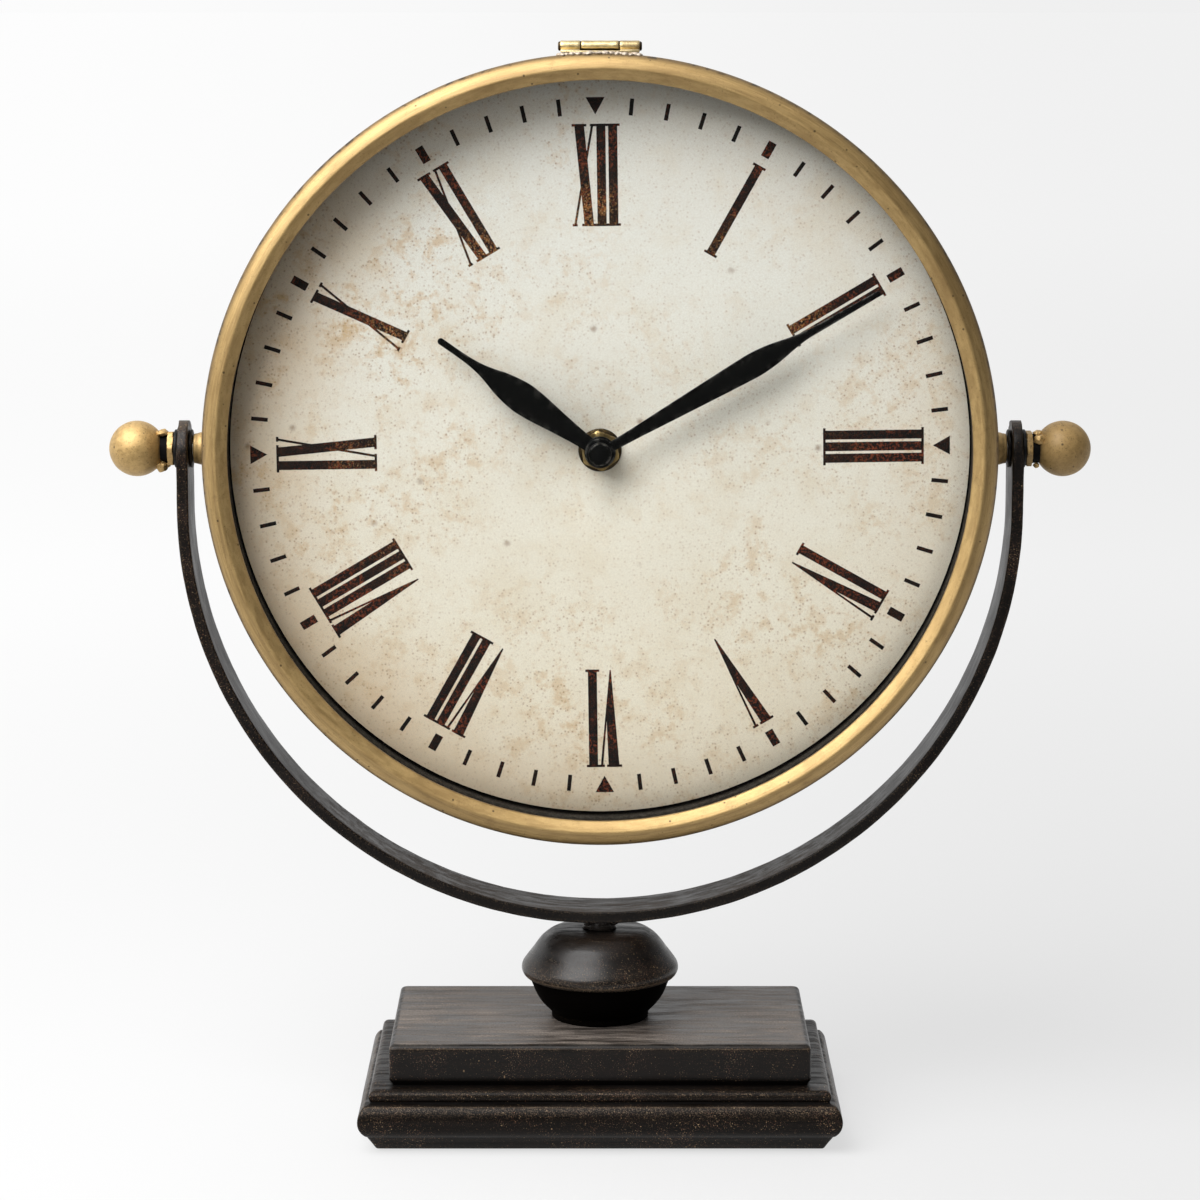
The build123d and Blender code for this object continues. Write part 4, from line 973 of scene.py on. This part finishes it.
for side, tag in ((-1, "left"), (1, "right")):
    m = Mesh()
    rows = [(2.6, 121.9, 0, 0.8), (6.4, 121.9, 0, 0.9), (6.4, 122.5, 0, 0.7)]
    for i in range(25):
        t = i / 24
        rib = -0.06 * (0.5 - 0.5 * math.cos(2 * math.pi * 4 * t))
        rows.append((6.38 + (4.75 - 6.38) * t + rib, 122.5 + 6.8 * t, 0.15 if rib > -0.02 else 0.0, 0.25 if rib < -0.045 else 0.0))
    rows += [(4.6, 129.5, 0.5, 0), (4.3, 129.6, 0.3, 0), (2.6, 129.6, 0, 0.5)]
    m.lathe(rows, 64, about_pivot(side), shift=lambda r, h, t: (-0.06 * (0.5 + 0.5 * wob((6 * math.cos(t), 6 * math.sin(t), h), 2.0, 3.0)), 0.0))
    m.make("sleeve_" + tag + "_ribbed", "case", "gold_paint", GOLD, ("sleeve_" + tag,), sharp=40)

    m = Mesh()
    put = about_pivot(side)
    rows = []
    # the rows next to the neck are marked darker: painted shade beside the neck
    for i in range(49):
        a = math.pi * i / 48
        rows.append((8.9 * math.sin(a) if 0 < i < 48 else 0.0, 147.7 - 8.9 * math.cos(a), 0.0, 0.55 if i < 10 else 0.0))
    m.lathe(rows, 72, put, closed=False, shift=lambda r, h, t: (-0.06 * (0.5 + 0.5 * wob((r * math.cos(t), r * math.sin(t), h), 3.2, 6.0 + side)), 0.0))
    neck = len(m.f)
    m.lathe([(2.55, 136.0, 0, 1), (4.7, 136.0, 0, 1), (4.7, 137.9, 0, 1), (4.55, 139.6, 0, 1), (4.7, 141.4, 0, 1), (2.55, 141.4, 0, 1)], 48, put)
    neck = range(neck, len(m.f))
    m.hexagon(10.6, 135.9, 137.7, put, bore=2.6, cham=0.35, turn=math.pi / 6 + 0.1 * side)
    ob = m.make("knob_" + tag + "_ball", "knob_l" if side < 0 else "knob_r", "gold_paint", GOLD if side < 0 else GOLD_SHADED, ("knob_" + tag,), sharp=42)
    # the neck takes the near-black finish: painted shade
    ob.data.materials.append(NECK_SHADE)
    for i in neck:
        ob.data.polygons[i].material_index = 1
    m = Mesh()
    # weld between the nut and the ball: a flat bridge above, a round drop below, more behind
    lumps = [((-1.6, 5.1, 139.4), (2.1, 0.95, 2.1), 1.0), ((1.2, 5.0, 139.6), (1.6, 1.0, 1.7), 2.0), ((-2.2, -5.5, 139.7), (1.80, 1.75, 1.80), 3.0), ((-1.2, -5.0, 137.9), (1.1, 1.0, 0.9), 4.0),
             ((4.3, -1.4, 139.6), (1.1, 1.5, 1.6), 5.0), ((3.6, 2.4, 139.6), (1.1, 1.3, 1.6), 6.0)]
    if side > 0:
        lumps = [((-4.1, 3.3, 139.9), (1.6, 1.55, 2.0), 11.0), ((-0.6, 4.9, 139.8), (2.0, 1.0, 1.7), 12.0), ((-1.2, -5.2, 139.2), (0.85, 0.85, 0.95), 13.0),
                 ((4.3, 0.8, 139.6), (1.1, 1.5, 1.6), 15.0), ((3.4, -2.6, 139.6), (1.0, 1.3, 1.6), 16.0)]
    for c, s, seed in lumps:
        m.blob(c, s, put, seed, amp=0.35, wear_and_highlight=0.2)
    m.make("knob_" + tag + "_weld", "knob_l" if side < 0 else "knob_r", "gold_paint", GOLD, sharp=70)

# ----------------------------------------------------------------------------
# case
# ----------------------------------------------------------------------------

rows = [(121.3, 16.0), (122.2, 16.0), (122.42, 15.9), (122.5, 15.6)]
rows += [(122.5, 15.6 - 1.6 * i) for i in range(1, 20)]
rows += [(122.5, -16.9), (122.35, -17.55), (121.95, -17.9), (121.4, -18.0), (119.9, -18.0), (112.3, -18.0), (112.0, -17.8), (112.0, -16.9), (121.2, -16.8), (121.3, -16.6), (121.3, -4.0)]
Mesh().lathe(rows, 256, about_dial).make("case_drum_rolled", "case", "case_sheet", SHEET, ("case_drum",), sharp=40)

rows = [(117.6, 4.0), (117.6, 6.0), (117.6, 9.0), (117.6, 13.0), (117.78, 13.45), (118.2, 13.6), (121.0, 13.6), (121.3, 13.4), (121.3, 12.8), (121.0, 12.6), (119.3, 12.5), (119.3, 4.0)]
Mesh().lathe(rows, 256, about_dial).make("dial_surround_ring", "case", "surround_black", SURROUND, ("dial_surround",), sharp=40)

rows = [(4.2, 1.0), (4.2, 3.95), (4.3, 4.0), (40.0, 4.0), (80.0, 4.0), (110.0, 4.0), (118.9, 4.0), (119.15, 3.85), (119.2, 3.6), (119.2, 1.2), (119.0, 1.0)]
Mesh().lathe(rows, 256, about_dial).make("dial_plate_printed", "case", "dial_paper", PAPER, ("dial_plate",), sharp=40)

# rear cover
COVER_R, CUT = 119.5, 30.5
outer = circle(COVER_R, 200)
hole = []
for cx, cy, a0 in ((CUT - 4, CUT - 4, 0), (-CUT + 4, CUT - 4, 90), (-CUT + 4, -CUT + 4, 180), (CUT - 4, -CUT + 4, 270)):
    hole += arc((cx, cy), 4.0, a0, a0 + 90, 8)
m = Mesh()
edge = [(COVER_R - 1.6, -19.2), (COVER_R - 0.5, -19.15), (COVER_R - 0.12, -18.95), (COVER_R, -18.6), (COVER_R, -18.15), (COVER_R - 0.15, -18.0), (COVER_R - 1.6, -18.0)]
m.lathe(edge, 200, about_dial, closed=False)
rim = circle(COVER_R - 1.6, 200)
m.flat([rim, hole], -19.2, -18.0, about_dial, lambda x, y: math.hypot(x, y) < COVER_R - 1.55 and not inside(hole, x, y))
cover = m.make("rear_cover_sheet", "case", "rear_black", POWDER, ("rear_cover",), sharp=35)
bm = bmesh.new()
bm.from_mesh(cover.data)
bmesh.ops.remove_doubles(bm, verts=list(bm.verts), dist=2e-6)
for f in list(bm.faces):
    rs = [math.hypot(v.co.x, v.co.z - PIVOT * MM) for v in f.verts]
    ys = {round(v.co.y, 6) for v in f.verts}
    if len(ys) == 2 and min(rs) > (COVER_R - 1.7) * MM and max(rs) < (COVER_R - 1.5) * MM:
        bm.faces.remove(f)
bm.to_mesh(cover.data)
bm.free()
cover.data.update()

# ----------------------------------------------------------------------------
# print on the dial
# ----------------------------------------------------------------------------

TURN = math.radians(0.8)      # the print sits a little anticlockwise
R_IN, R_OUT = 71.0, 103.0
H = R_OUT - R_IN
BAR, GAP, SERIF, OUT = 2.85, 0.85, 0.78, 0.80


def glyph(text):
    """Polygons of a Roman numeral, x to the right and y up from its foot, centred on x = 0."""
    strokes = []
    x = 0.0
    for i, ch in enumerate(text):
        nxt = text[i + 1] if i + 1 < len(text) else ""
        if ch == "I":
            strokes.append([(x, 0), (x + BAR, 0), (x + BAR, H), (x, H)])
            strokes.append([(x - OUT, 0), (x + BAR + OUT, 0), (x + BAR + OUT, SERIF), (x - OUT, SERIF)])
            strokes.append([(x - OUT, H - SERIF), (x + BAR + OUT, H - SERIF), (x + BAR + OUT, H), (x - OUT, H)])
            x += BAR + (GAP if nxt == "I" else 1.0)
        elif ch == "V":
            w = 6.1
            strokes.append([(x, H), (x + 3.5, H), (x + 4.0, 16.5), (x + 2.82, 0.25), (x + 2.42, 0.25)])
            strokes.append([(x + w - 0.78, H), (x + w, H), (x + 2.85, 0.3), (x + 2.5, 0.5)])
            strokes.append([(x - OUT, H - SERIF), (x + 3.5 + OUT * 0.7, H - SERIF), (x + 3.5 + OUT * 0.7, H), (x - OUT, H)])
            strokes.append([(x + w - 0.78 - OUT * 0.7, H - SERIF), (x + w + OUT * 0.7, H - SERIF), (x + w + OUT * 0.7, H), (x + w - 0.78 - OUT * 0.7, H)])
            x += w + 0.85
        elif ch == "X":
            w = 6.5
            strokes.append([(x + 0.3, H), (x + 3.35, H), (x + 6.2, 0), (x + 3.2, 0)])
            strokes.append([(x + 5.65, H), (x + 6.4, H), (x + 0.55, 0), (x - 0.2, 0)])
            for a, b, y in ((0.3, 3.35, H - SERIF), (5.65, 6.4, H - SERIF), (3.2, 6.2, 0), (-0.2, 0.55, 0)):
                e = OUT if b - a > 2 else OUT * 0.50
                strokes.append([(x + a - e, y), (x + b + e, y), (x + b + e, y + SERIF), (x + a - e, y + SERIF)])
            x += w + 0.75
    lo = min(p[0] for s in strokes for p in s)
    hi = max(p[0] for s in strokes for p in s)
    return [[(px - (lo + hi) / 2, py) for px, py in s] for s in strokes]


def ragged(poly, step, amp, seed):
    """The polygon with its edges broken up a little, as old print is."""
    out = []
    for i, a in enumerate(poly):
        b = poly[(i + 1) % len(poly)]
        length = math.dist(a, b)
        if length < 1e-6:
            continue
        nx, ny = (b[1] - a[1]) / length, -(b[0] - a[0]) / length
        k = max(1, int(length / step))
        for s in range(k):
            t = s / k
            x, y = a[0] + (b[0] - a[0]) * t, a[1] + (b[1] - a[1]) * t
            d = amp * noise.noise(Vector((x * 1.9 + seed, y * 1.9 - seed, seed))) if s else 0.0
            out.append((x + nx * d, y + ny * d))
    return out


def turned_by(deg, poly, r0):
    a = math.radians(deg) - TURN
    c, s = math.cos(a), math.sin(a)
    return [(x * c + (y + r0) * s, -x * s + (y + r0) * c) for x, y in poly]


Z_PRINT = 4.035
for hour, text in enumerate(("XII", "I", "II", "III", "IV", "V", "VI", "VII", "VIII", "IX", "X", "XI")):
    polys = [turned_by(30.0 * hour, ragged(p, 0.45, 0.055, 3.0 * hour + 0.7 * k), R_IN) for k, p in enumerate(glyph(text))]
    m = Mesh()
    m.flat(polys, 4.0, Z_PRINT, about_dial, lambda x, y: any(inside(p, x, y) for p in polys))
    m.make("numeral_%02d" % (hour or 12), "case", "dial_paper", INK, sharp=40)

m = Mesh()
for i in range(60):
    if i % 15 == 0:
        poly = [(-3.0, 5.3), (3.0, 5.3), (0.0, -0.1)]
    elif i % 5 == 0:
        poly = [(-1.35, 0), (1.35, 0), (1.35, 5.3), (-1.35, 5.3)]
    else:
        poly = [(-0.63, 0), (0.63, 0), (0.63, 5.3), (-0.63, 5.3)]
    poly = turned_by(6.0 * i, ragged(poly, 0.4, 0.05, 0.37 * i), 106.0)
    m.flat([poly], 4.0, Z_PRINT, about_dial, lambda x, y: inside(poly, x, y), wear_and_highlight=1.0 if i % 5 == 0 else 0.0)
m.make("minute_track", "case", "dial_paper", INK, sharp=40)

# ----------------------------------------------------------------------------
# hands and centre
# ----------------------------------------------------------------------------

HOUR = [(2.9, 4.5), (7.5, 5.0), (11.9, 6.0), (16.4, 7.1), (20.9, 8.4), (25.4, 9.5), (29.8, 10.0), (33.2, 9.4), (36.5, 8.3), (39.0, 7.2), (41.2, 5.8), (43.4, 4.6), (46.0, 3.4), (50.0, 2.4), (55.0, 2.05), (61.2, 2.1)]
MINUTE = [(2.4, 3.0), (12.2, 3.6), (23.1, 4.75), (34.1, 5.85), (45.0, 6.95), (52.3, 7.6), (56.2, 7.8), (59.6, 7.4), (63.3, 6.5), (67.0, 5.1), (70.6, 3.7), (74.2, 2.7), (78.5, 2.2), (86.0, 1.95), (94.0, 1.8), (100.6, 1.7)]


def blade(st, deg, z0, z1, hub, bore, name, body, node, hub_rows):
    m = Mesh()
    a = math.radians(deg)
    c, s = math.cos(a), math.sin(a)

    def put(x, y, z):
        return on_case(x * c + y * s, -x * s + y * c, z)

    line = smooth_line([(d, w / 2) for d, w in st], 0.9)
    tip, tw = line[-1]
    line += [(tip + tw * math.sin(math.radians(k)), tw * math.cos(math.radians(k))) for k in (25, 45, 62, 76, 86)]
    bev, crown = 0.32, 0.06
    rings = []
    for d, w in line:
        b = min(bev, 0.42 * w)
        rings.append([m.point(put(x, d, z), wr) for x, z, wr in
                      ((-w, z0, 0), (-w, z1 - 0.62 * b, 0.9), (-w + 0.45 * b, z1 - 0.22 * b, 0.9), (-w + b, z1 - crown, 0.2), (-0.4 * w, z1 - 0.3 * crown, 0), (0, z1, 0),
                       (0.4 * w, z1 - 0.3 * crown, 0), (w - b, z1 - crown, 0.2), (w - 0.45 * b, z1 - 0.22 * b, 0.9), (w, z1 - 0.62 * b, 0.9), (w, z0, 0))])
    for p, q in zip(rings, rings[1:]):
        m.bridge(p, q)
    m.f.append(tuple(rings[0]))
    m.f.append(tuple(reversed(rings[-1])))
    m.lathe(hub_rows, 72, about_dial)
    return m.make(name, body, "hand_black", HAND, (node,), sharp=45)


blade(HOUR, 305.0, 9.4, 10.08, 5.0, 2.55, "hour_hand_blade", "hour_set", "hour_hand",
      [(2.56, 8.6), (3.2, 8.6), (3.3, 8.75), (3.3, 9.4), (4.8, 9.4), (5.0, 9.55, 0.9, 0), (5.0, 9.95, 0.9, 0), (4.86, 10.1, 0.9, 0), (4.6, 10.15, 0.3, 0), (2.56, 10.15)])
blade(MINUTE, 60.0, 12.6, 13.18, 4.7, 1.6, "minute_hand_blade", "minute_set", "minute_hand",
      [(1.61, 11.6), (2.5, 11.6), (2.6, 11.7), (2.6, 12.6), (4.5, 12.6), (4.7, 12.75, 0.9, 0), (4.7, 13.0, 0.9, 0), (4.55, 13.15, 0.9, 0), (4.3, 13.2, 0.3, 0), (1.61, 13.2)])
cap = [(1.61, 13.2), (3.6, 13.2, 0.3, 0), (3.6, 15.9, 0.2, 0), (3.55, 16.25, 0.9, 0), (3.42, 16.5, 1.0, 0), (3.2, 16.62, 0.9, 0), (2.95, 16.64, 0.2, 0), (2.8, 16.58, 0, 0.6), (2.6, 16.60, 0, 0), (1.5, 16.86), (0.0, 17.0)]
Mesh().lathe([(0.0, 15.7), (1.61, 15.6)] + cap, 72, about_dial, closed=False).make("hand_cap_nut_turned", "minute_set", "hand_black", HAND, ("hand_cap_nut",), sharp=38)
Mesh().hexagon(11.4, 4.6, 7.2, about_dial, bore=3.9, cham=0.6, turn=math.radians(8)).make("dial_nut_hex", "case", "brass", BRASS, ("dial_nut",), sharp=35)
Mesh().lathe([(4.0, 4.05), (6.6, 4.05), (6.85, 4.12, 0.6, 0), (6.9, 4.25, 0.6, 0), (6.85, 4.45, 0.6, 0), (6.6, 4.6), (4.0, 4.6)], 72, about_dial).make(
    "dial_washer_flat", "case", "brass", DARK_BRASS, ("dial_washer",), sharp=45)

# ----------------------------------------------------------------------------
# door
# ----------------------------------------------------------------------------

bead = [(124.9, 14.3, 0.7, 0.5), (125.05, 15.2, 0.5, 0.25), (125.15, 16.6, 0.3, 0.1), (125.2, 18.0, 0.35, 0.15), (125.2, 19.3, 0.7, 0.6), (125.1, 19.9, 1.0, 0.9), (124.85, 20.5, 0.8, 0.85), (124.5, 21.05, 0.5, 0.5),
        (124.05, 21.58, 0.2, 0.15), (123.5, 22.08, 0, 0), (122.9, 22.5, 0, 0), (122.3, 22.85, 0, 0.05), (121.75, 23.13, 0, 0.22), (121.35, 23.3, 0, 0.28), (120.95, 23.43, 0, 0.08), (120.6, 23.48, 0, 0), (120.25, 23.42, 0, 0),
        (119.9, 23.27, 0, 0), (119.4, 22.99, 0, 0), (118.8, 22.63, 0, 0), (118.2, 22.25, 0, 0), (117.7, 21.93, 0, 0), (117.35, 21.68, 0.05, 0), (117.12, 21.42, 0.15, 0.1), (117.0, 21.1, 0.3, 0.4), (117.0, 20.6, 0.3, 0.6)]
line = smooth_line(bead, 0.22) + [(117.05, 20.22, 0.2, 0.6), (118.5, 20.2, 0, 0.5), (123.6, 20.2, 0, 0.5), (123.7, 20.1, 0, 0.5), (123.7, 14.5, 0, 0.3), (123.85, 14.3, 0.5, 0.2)]


def bezel_shift(r, h, t):
    x, y = r * math.cos(t), r * math.sin(t)
    d = 0.5 + 0.5 * wob((x, y, 3 * h), 11.0, 4.0)
    e = 0.5 + 0.5 * wob((x, y, 3 * h), 3.0, 9.0)
    if r < 117.4 or h < 20.3 and r < 124.5:
        return 0.0, 0.0
    k = 0.04
    nick = max(0.0, wob((x, y, h), 2.2, 14.0) - 0.55) * (0.5 if r > 124.6 else 0.0)
    return -(k * d + 0.015 * e + nick) * (1 if r > 121 else 0.4), -(0.04 * d + 0.015 * e) * (1 if h > 23 else 0)


Mesh().lathe(line, 420, about_dial, shift=bezel_shift).make("bezel_rolled", "door", "gold_paint", GOLD_RING, ("bezel",), sharp=45)
Mesh().lathe([(0.0, 20.19), (60.0, 20.19), (122.9, 20.19), (123.2, 19.9), (123.2, 18.5), (122.9, 18.21), (60.0, 18.21), (0.0, 18.21)], 200, about_dial, closed=False).make(
    "glass_pane", "door", "clear_glass", GLASS, ("glass",), sharp=40)
Mesh().lathe([(119.6, 16.6), (119.8, 16.4), (123.4, 16.4), (123.6, 16.6), (123.6, 18.0), (123.4, 18.2), (119.8, 18.2), (119.6, 18.0)], 200, about_dial).make(
    "glass_retainer_ring", "door", "surround_black", SURROUND, ("glass_retainer",), sharp=50)


# hinge
def knuckle(m, x0, x1, seed):
    e = 0.22
    rows = [(0.86, x0, 0, 0.8), (1.75 - e, x0, 0.4, 0.2), (1.75 - 0.3 * e, x0 + 0.3 * e, 0.5, 0), (1.75, x0 + e, 0.3, 0)]
    k = max(2, int((x1 - x0) / 0.8))
    rows += [(1.75, x0 + e + (x1 - x0 - 2 * e) * i / k, 0.1, 0) for i in range(1, k)]
    rows += [(1.75, x1 - e, 0.3, 0), (1.75 - 0.3 * e, x1 - 0.3 * e, 0.5, 0), (1.75 - e, x1, 0.4, 0.2), (0.86, x1, 0, 0.8)]
    m.lathe(rows, 40, about_hinge, shift=lambda r, h, t: (-0.05 * (0.5 + 0.5 * wob((4 * math.cos(t), 4 * math.sin(t), h), 1.6, seed)), 0.0))


m = Mesh()
for s, seed in ((-1, 1.0), (1, 2.0)):
    x0, x1 = sorted((s * 6.15, s * 12.3))
    knuckle(m, x0, x1, seed)
    m.box(x0 + 0.05, x1 - 0.05, 125.35, 126.25, 12.2, 19.2, on_case, r=0.25, seg=2)
m.box(-12.2, 12.2, 125.3, 125.95, 14.3, 19.3, on_case, r=0.25, seg=2)
m.make("door_hinge_knuckles", "door", "gold_paint", HINGE_BRASS, ("door_hinge_leaf",), sharp=40)
m = Mesh()
for i in range(31):
    x = -12.3 + 24.6 * i / 30 + 0.4 * math.sin(3.7 * i)
    yb = math.sqrt(125.0 ** 2 - x * x)
    m.blob((x, yb + 0.15 + 0.12 * math.sin(2.3 * i), 18.9 + 0.5 * math.sin(1.9 * i)), (1.35 + 0.3 * math.sin(4.1 * i), 0.66 + 0.10 * math.cos(2.9 * i), 1.3), on_case, 2.0 + 1.3 * i, amp=0.3, sub=2)
m.make("door_hinge_solder", "door", "gold_paint", SOLDER, sharp=70)

m = Mesh()
knuckle(m, -5.8, 5.8, 3.0)
for i, q in enumerate(m.v):
    # painted shade under the knuckle, where the leaf passes
    if q[2] / MM < PIVOT + 126.55:
        m.a["hollow_grime_and_shade"][i] = 1.0
m.box(-5.7, 5.7, 122.6, 123.55, 2.2, 11.6, on_case, r=0.25, seg=2)
m.box(-5.7, 5.7, 122.9, 126.6, 10.5, 11.7, on_case, r=0.25, seg=2)
m.make("case_hinge_knuckle", "case", "gold_paint", HINGE_BRASS, ("case_hinge_leaf",), sharp=40)

m = Mesh()
m.lathe([(0.0, -13.05)] + [(0.95, -13.05), (1.3, -12.9), (1.45, -12.6), (1.45, -12.34), (0.8, -12.32), (0.8, -6.0), (0.8, 0.0), (0.8, 6.0), (0.8, 12.32), (1.45, 12.34), (1.45, 12.6), (1.3, 12.9), (0.95, 13.05)] + [(0.0, 13.05)],
        32, about_hinge, closed=False)
# dark rings filling the gaps between the knuckles: painted shade in the gaps
for a, b in ((-6.14, -5.81), (5.81, 6.14)):
    m.lathe([(0.8, a), (1.6, a), (1.6, b), (0.8, b)], 32, about_hinge)
m.make("hinge_pin_headed", "door", "brass", DARK_BRASS, ("hinge_pin",), sharp=40)

# ----------------------------------------------------------------------------
# finishes of the nodes that stay as they are
# ----------------------------------------------------------------------------

KEEP = {
    "base_pads": FELT, "plinth_screws": STEEL, "centre_bolt": STEEL, "centre_bolt_washer": STEEL,
    "trunnion_left": STEEL, "trunnion_right": STEEL, "rear_screws": STEEL, "dial_brackets": STEEL, "dial_screws": STEEL,
    "movement_front_case": PLASTIC, "movement_rear_case": PLASTIC, "setting_knob": PLASTIC, "shaft_bush": BRASS,
    "circuit_board": BOARD, "crystal": STEEL, "stator": STEEL, "coil": COIL, "battery": CELL,
    "contact_positive": STEEL, "contact_negative": STEEL,
    "centre_wheel": BRASS, "hour_wheel": BRASS, "minute_wheel": GEAR, "intermediate_wheel": GEAR, "rotor": GEAR,
}
for name, mat in KEEP.items():
    me = NODES[name].data
    me.materials.clear()
    me.materials.append(mat)

# ----------------------------------------------------------------------------
# floor, light, camera
# ----------------------------------------------------------------------------

bm = bmesh.new()
bmesh.ops.create_circle(bm, cap_ends=True, cap_tris=False, segments=96, radius=60.0)
me = bpy.data.meshes.new("studio_floor")
bm.to_mesh(me)
bm.free()
floor = bpy.data.objects.new("studio_floor", me)
scene.collection.objects.link(floor)
m = Mat("studio_floor_white")
x, y, z = m.xyz()
# the floor glows rather than being lit: painted light, brighter at the left towards the lamp and further away
fan = m.calc("DIVIDE", x, m.calc("MAXIMUM", m.calc("ABSOLUTE", m.calc("ADD", y, 1.3)), 0.4))
pale = m.span(fan, -0.17, 0.17, 0.715, 0.605)
far = m.span(m.calc("SQRT", m.calc("ADD", m.mul(x, x), m.mul(y, y))), 0.25, 1.3)
away = m.span(m.calc("SQRT", m.calc("ADD", m.mul(x, x), m.mul(y, y))), 1.0, 5.0)
pale = m.calc("ADD", pale, m.calc("ADD", m.mul(far, 0.105), m.mul(away, 0.045)))
# the set is open towards the front, so little light comes back from there
near = m.span(y, -0.45, -0.06, 0.10, 1.0)
path = m.add("ShaderNodeLightPath").outputs["Is Camera Ray"]
open_front = m.calc("MAXIMUM", path, near)
e = m.add("ShaderNodeEmission")
m.put(e.inputs["Color"], (1.0, 1.0, 1.0))
m.put(e.inputs["Strength"], m.mul(pale, open_front))
d = m.add("ShaderNodeBsdfDiffuse")
d.inputs["Color"].default_value = (0.160, 0.160, 0.160, 1.0)
add = m.add("ShaderNodeAddShader")
m.nt.links.new(e.outputs[0], add.inputs[0])
m.nt.links.new(d.outputs[0], add.inputs[1])
m.nt.links.new(add.outputs[0], m.out.inputs["Surface"])
me.materials.append(m.mat)

# a white backdrop behind, white screens above and at the left, a dim room in front
w = Mat("studio_world", world=True)
scene.world = w.mat
x, y, z = w.xyz()
back = w.mul(w.span(y, -0.15, 0.40, 0.28, 1.0), w.span(x, 0.10, 0.85, 1.0, 0.25))
left = w.span(x, -0.25, -0.80, 0.0, 0.90)
above = w.mul(w.span(z, 0.25, 0.90), w.span(x, 0.30, -0.25, 0.38, 1.25))
# to the camera the backdrop is brighter at the left than at the right: painted fall-off of the lamp's light
seen = w.add("ShaderNodeBackground")
w.put(seen.inputs["Color"], (1.0, 1.0, 1.0))
w.put(seen.inputs["Strength"], w.span(x, -0.17, 0.17, 0.972, 0.864))
lit = w.add("ShaderNodeBackground")
lit.inputs["Color"].default_value = (1.0, 1.0, 1.0, 1.0)
w.put(lit.inputs["Strength"], w.calc("MAXIMUM", back, w.calc("MAXIMUM", left, above)))
mixw = w.add("ShaderNodeMixShader")
w.put(mixw.inputs[0], w.add("ShaderNodeLightPath").outputs["Is Camera Ray"])
w.nt.links.new(lit.outputs[0], mixw.inputs[1])
w.nt.links.new(seen.outputs[0], mixw.inputs[2])
w.nt.links.new(mixw.outputs[0], w.out.inputs["Surface"])


def lamp(name, at, aim, size, power, size_y=None):
    data = bpy.data.lights.new(name, "AREA")
    data.shape = "RECTANGLE"
    data.size, data.size_y = size, size_y or size
    data.energy = power
    ob = bpy.data.objects.new(name, data)
    scene.collection.objects.link(ob)
    ob.location = at
    ob.rotation_mode = "QUATERNION"
    ob.rotation_quaternion = (Vector(aim) - Vector(at)).to_track_quat("-Z", "Y")
    return ob


lamp("key", (-0.62, -0.64, 1.20), (0.0, 0.0, 0.20), 1.25, 31.5)

cam_data = bpy.data.cameras.new("camera")
cam_data.sensor_width = 36.0
cam_data.lens = 36.0 * 3701.0 / 1200.0
cam_data.clip_start, cam_data.clip_end = 0.05, 200.0
cam = bpy.data.objects.new("camera", cam_data)
cam.location = (0.0, -1.1736, 0.3644)
cam.rotation_euler = (math.radians(90.0 - 9.36), 0.0, 0.0)
scene.collection.objects.link(cam)
scene.camera = cam
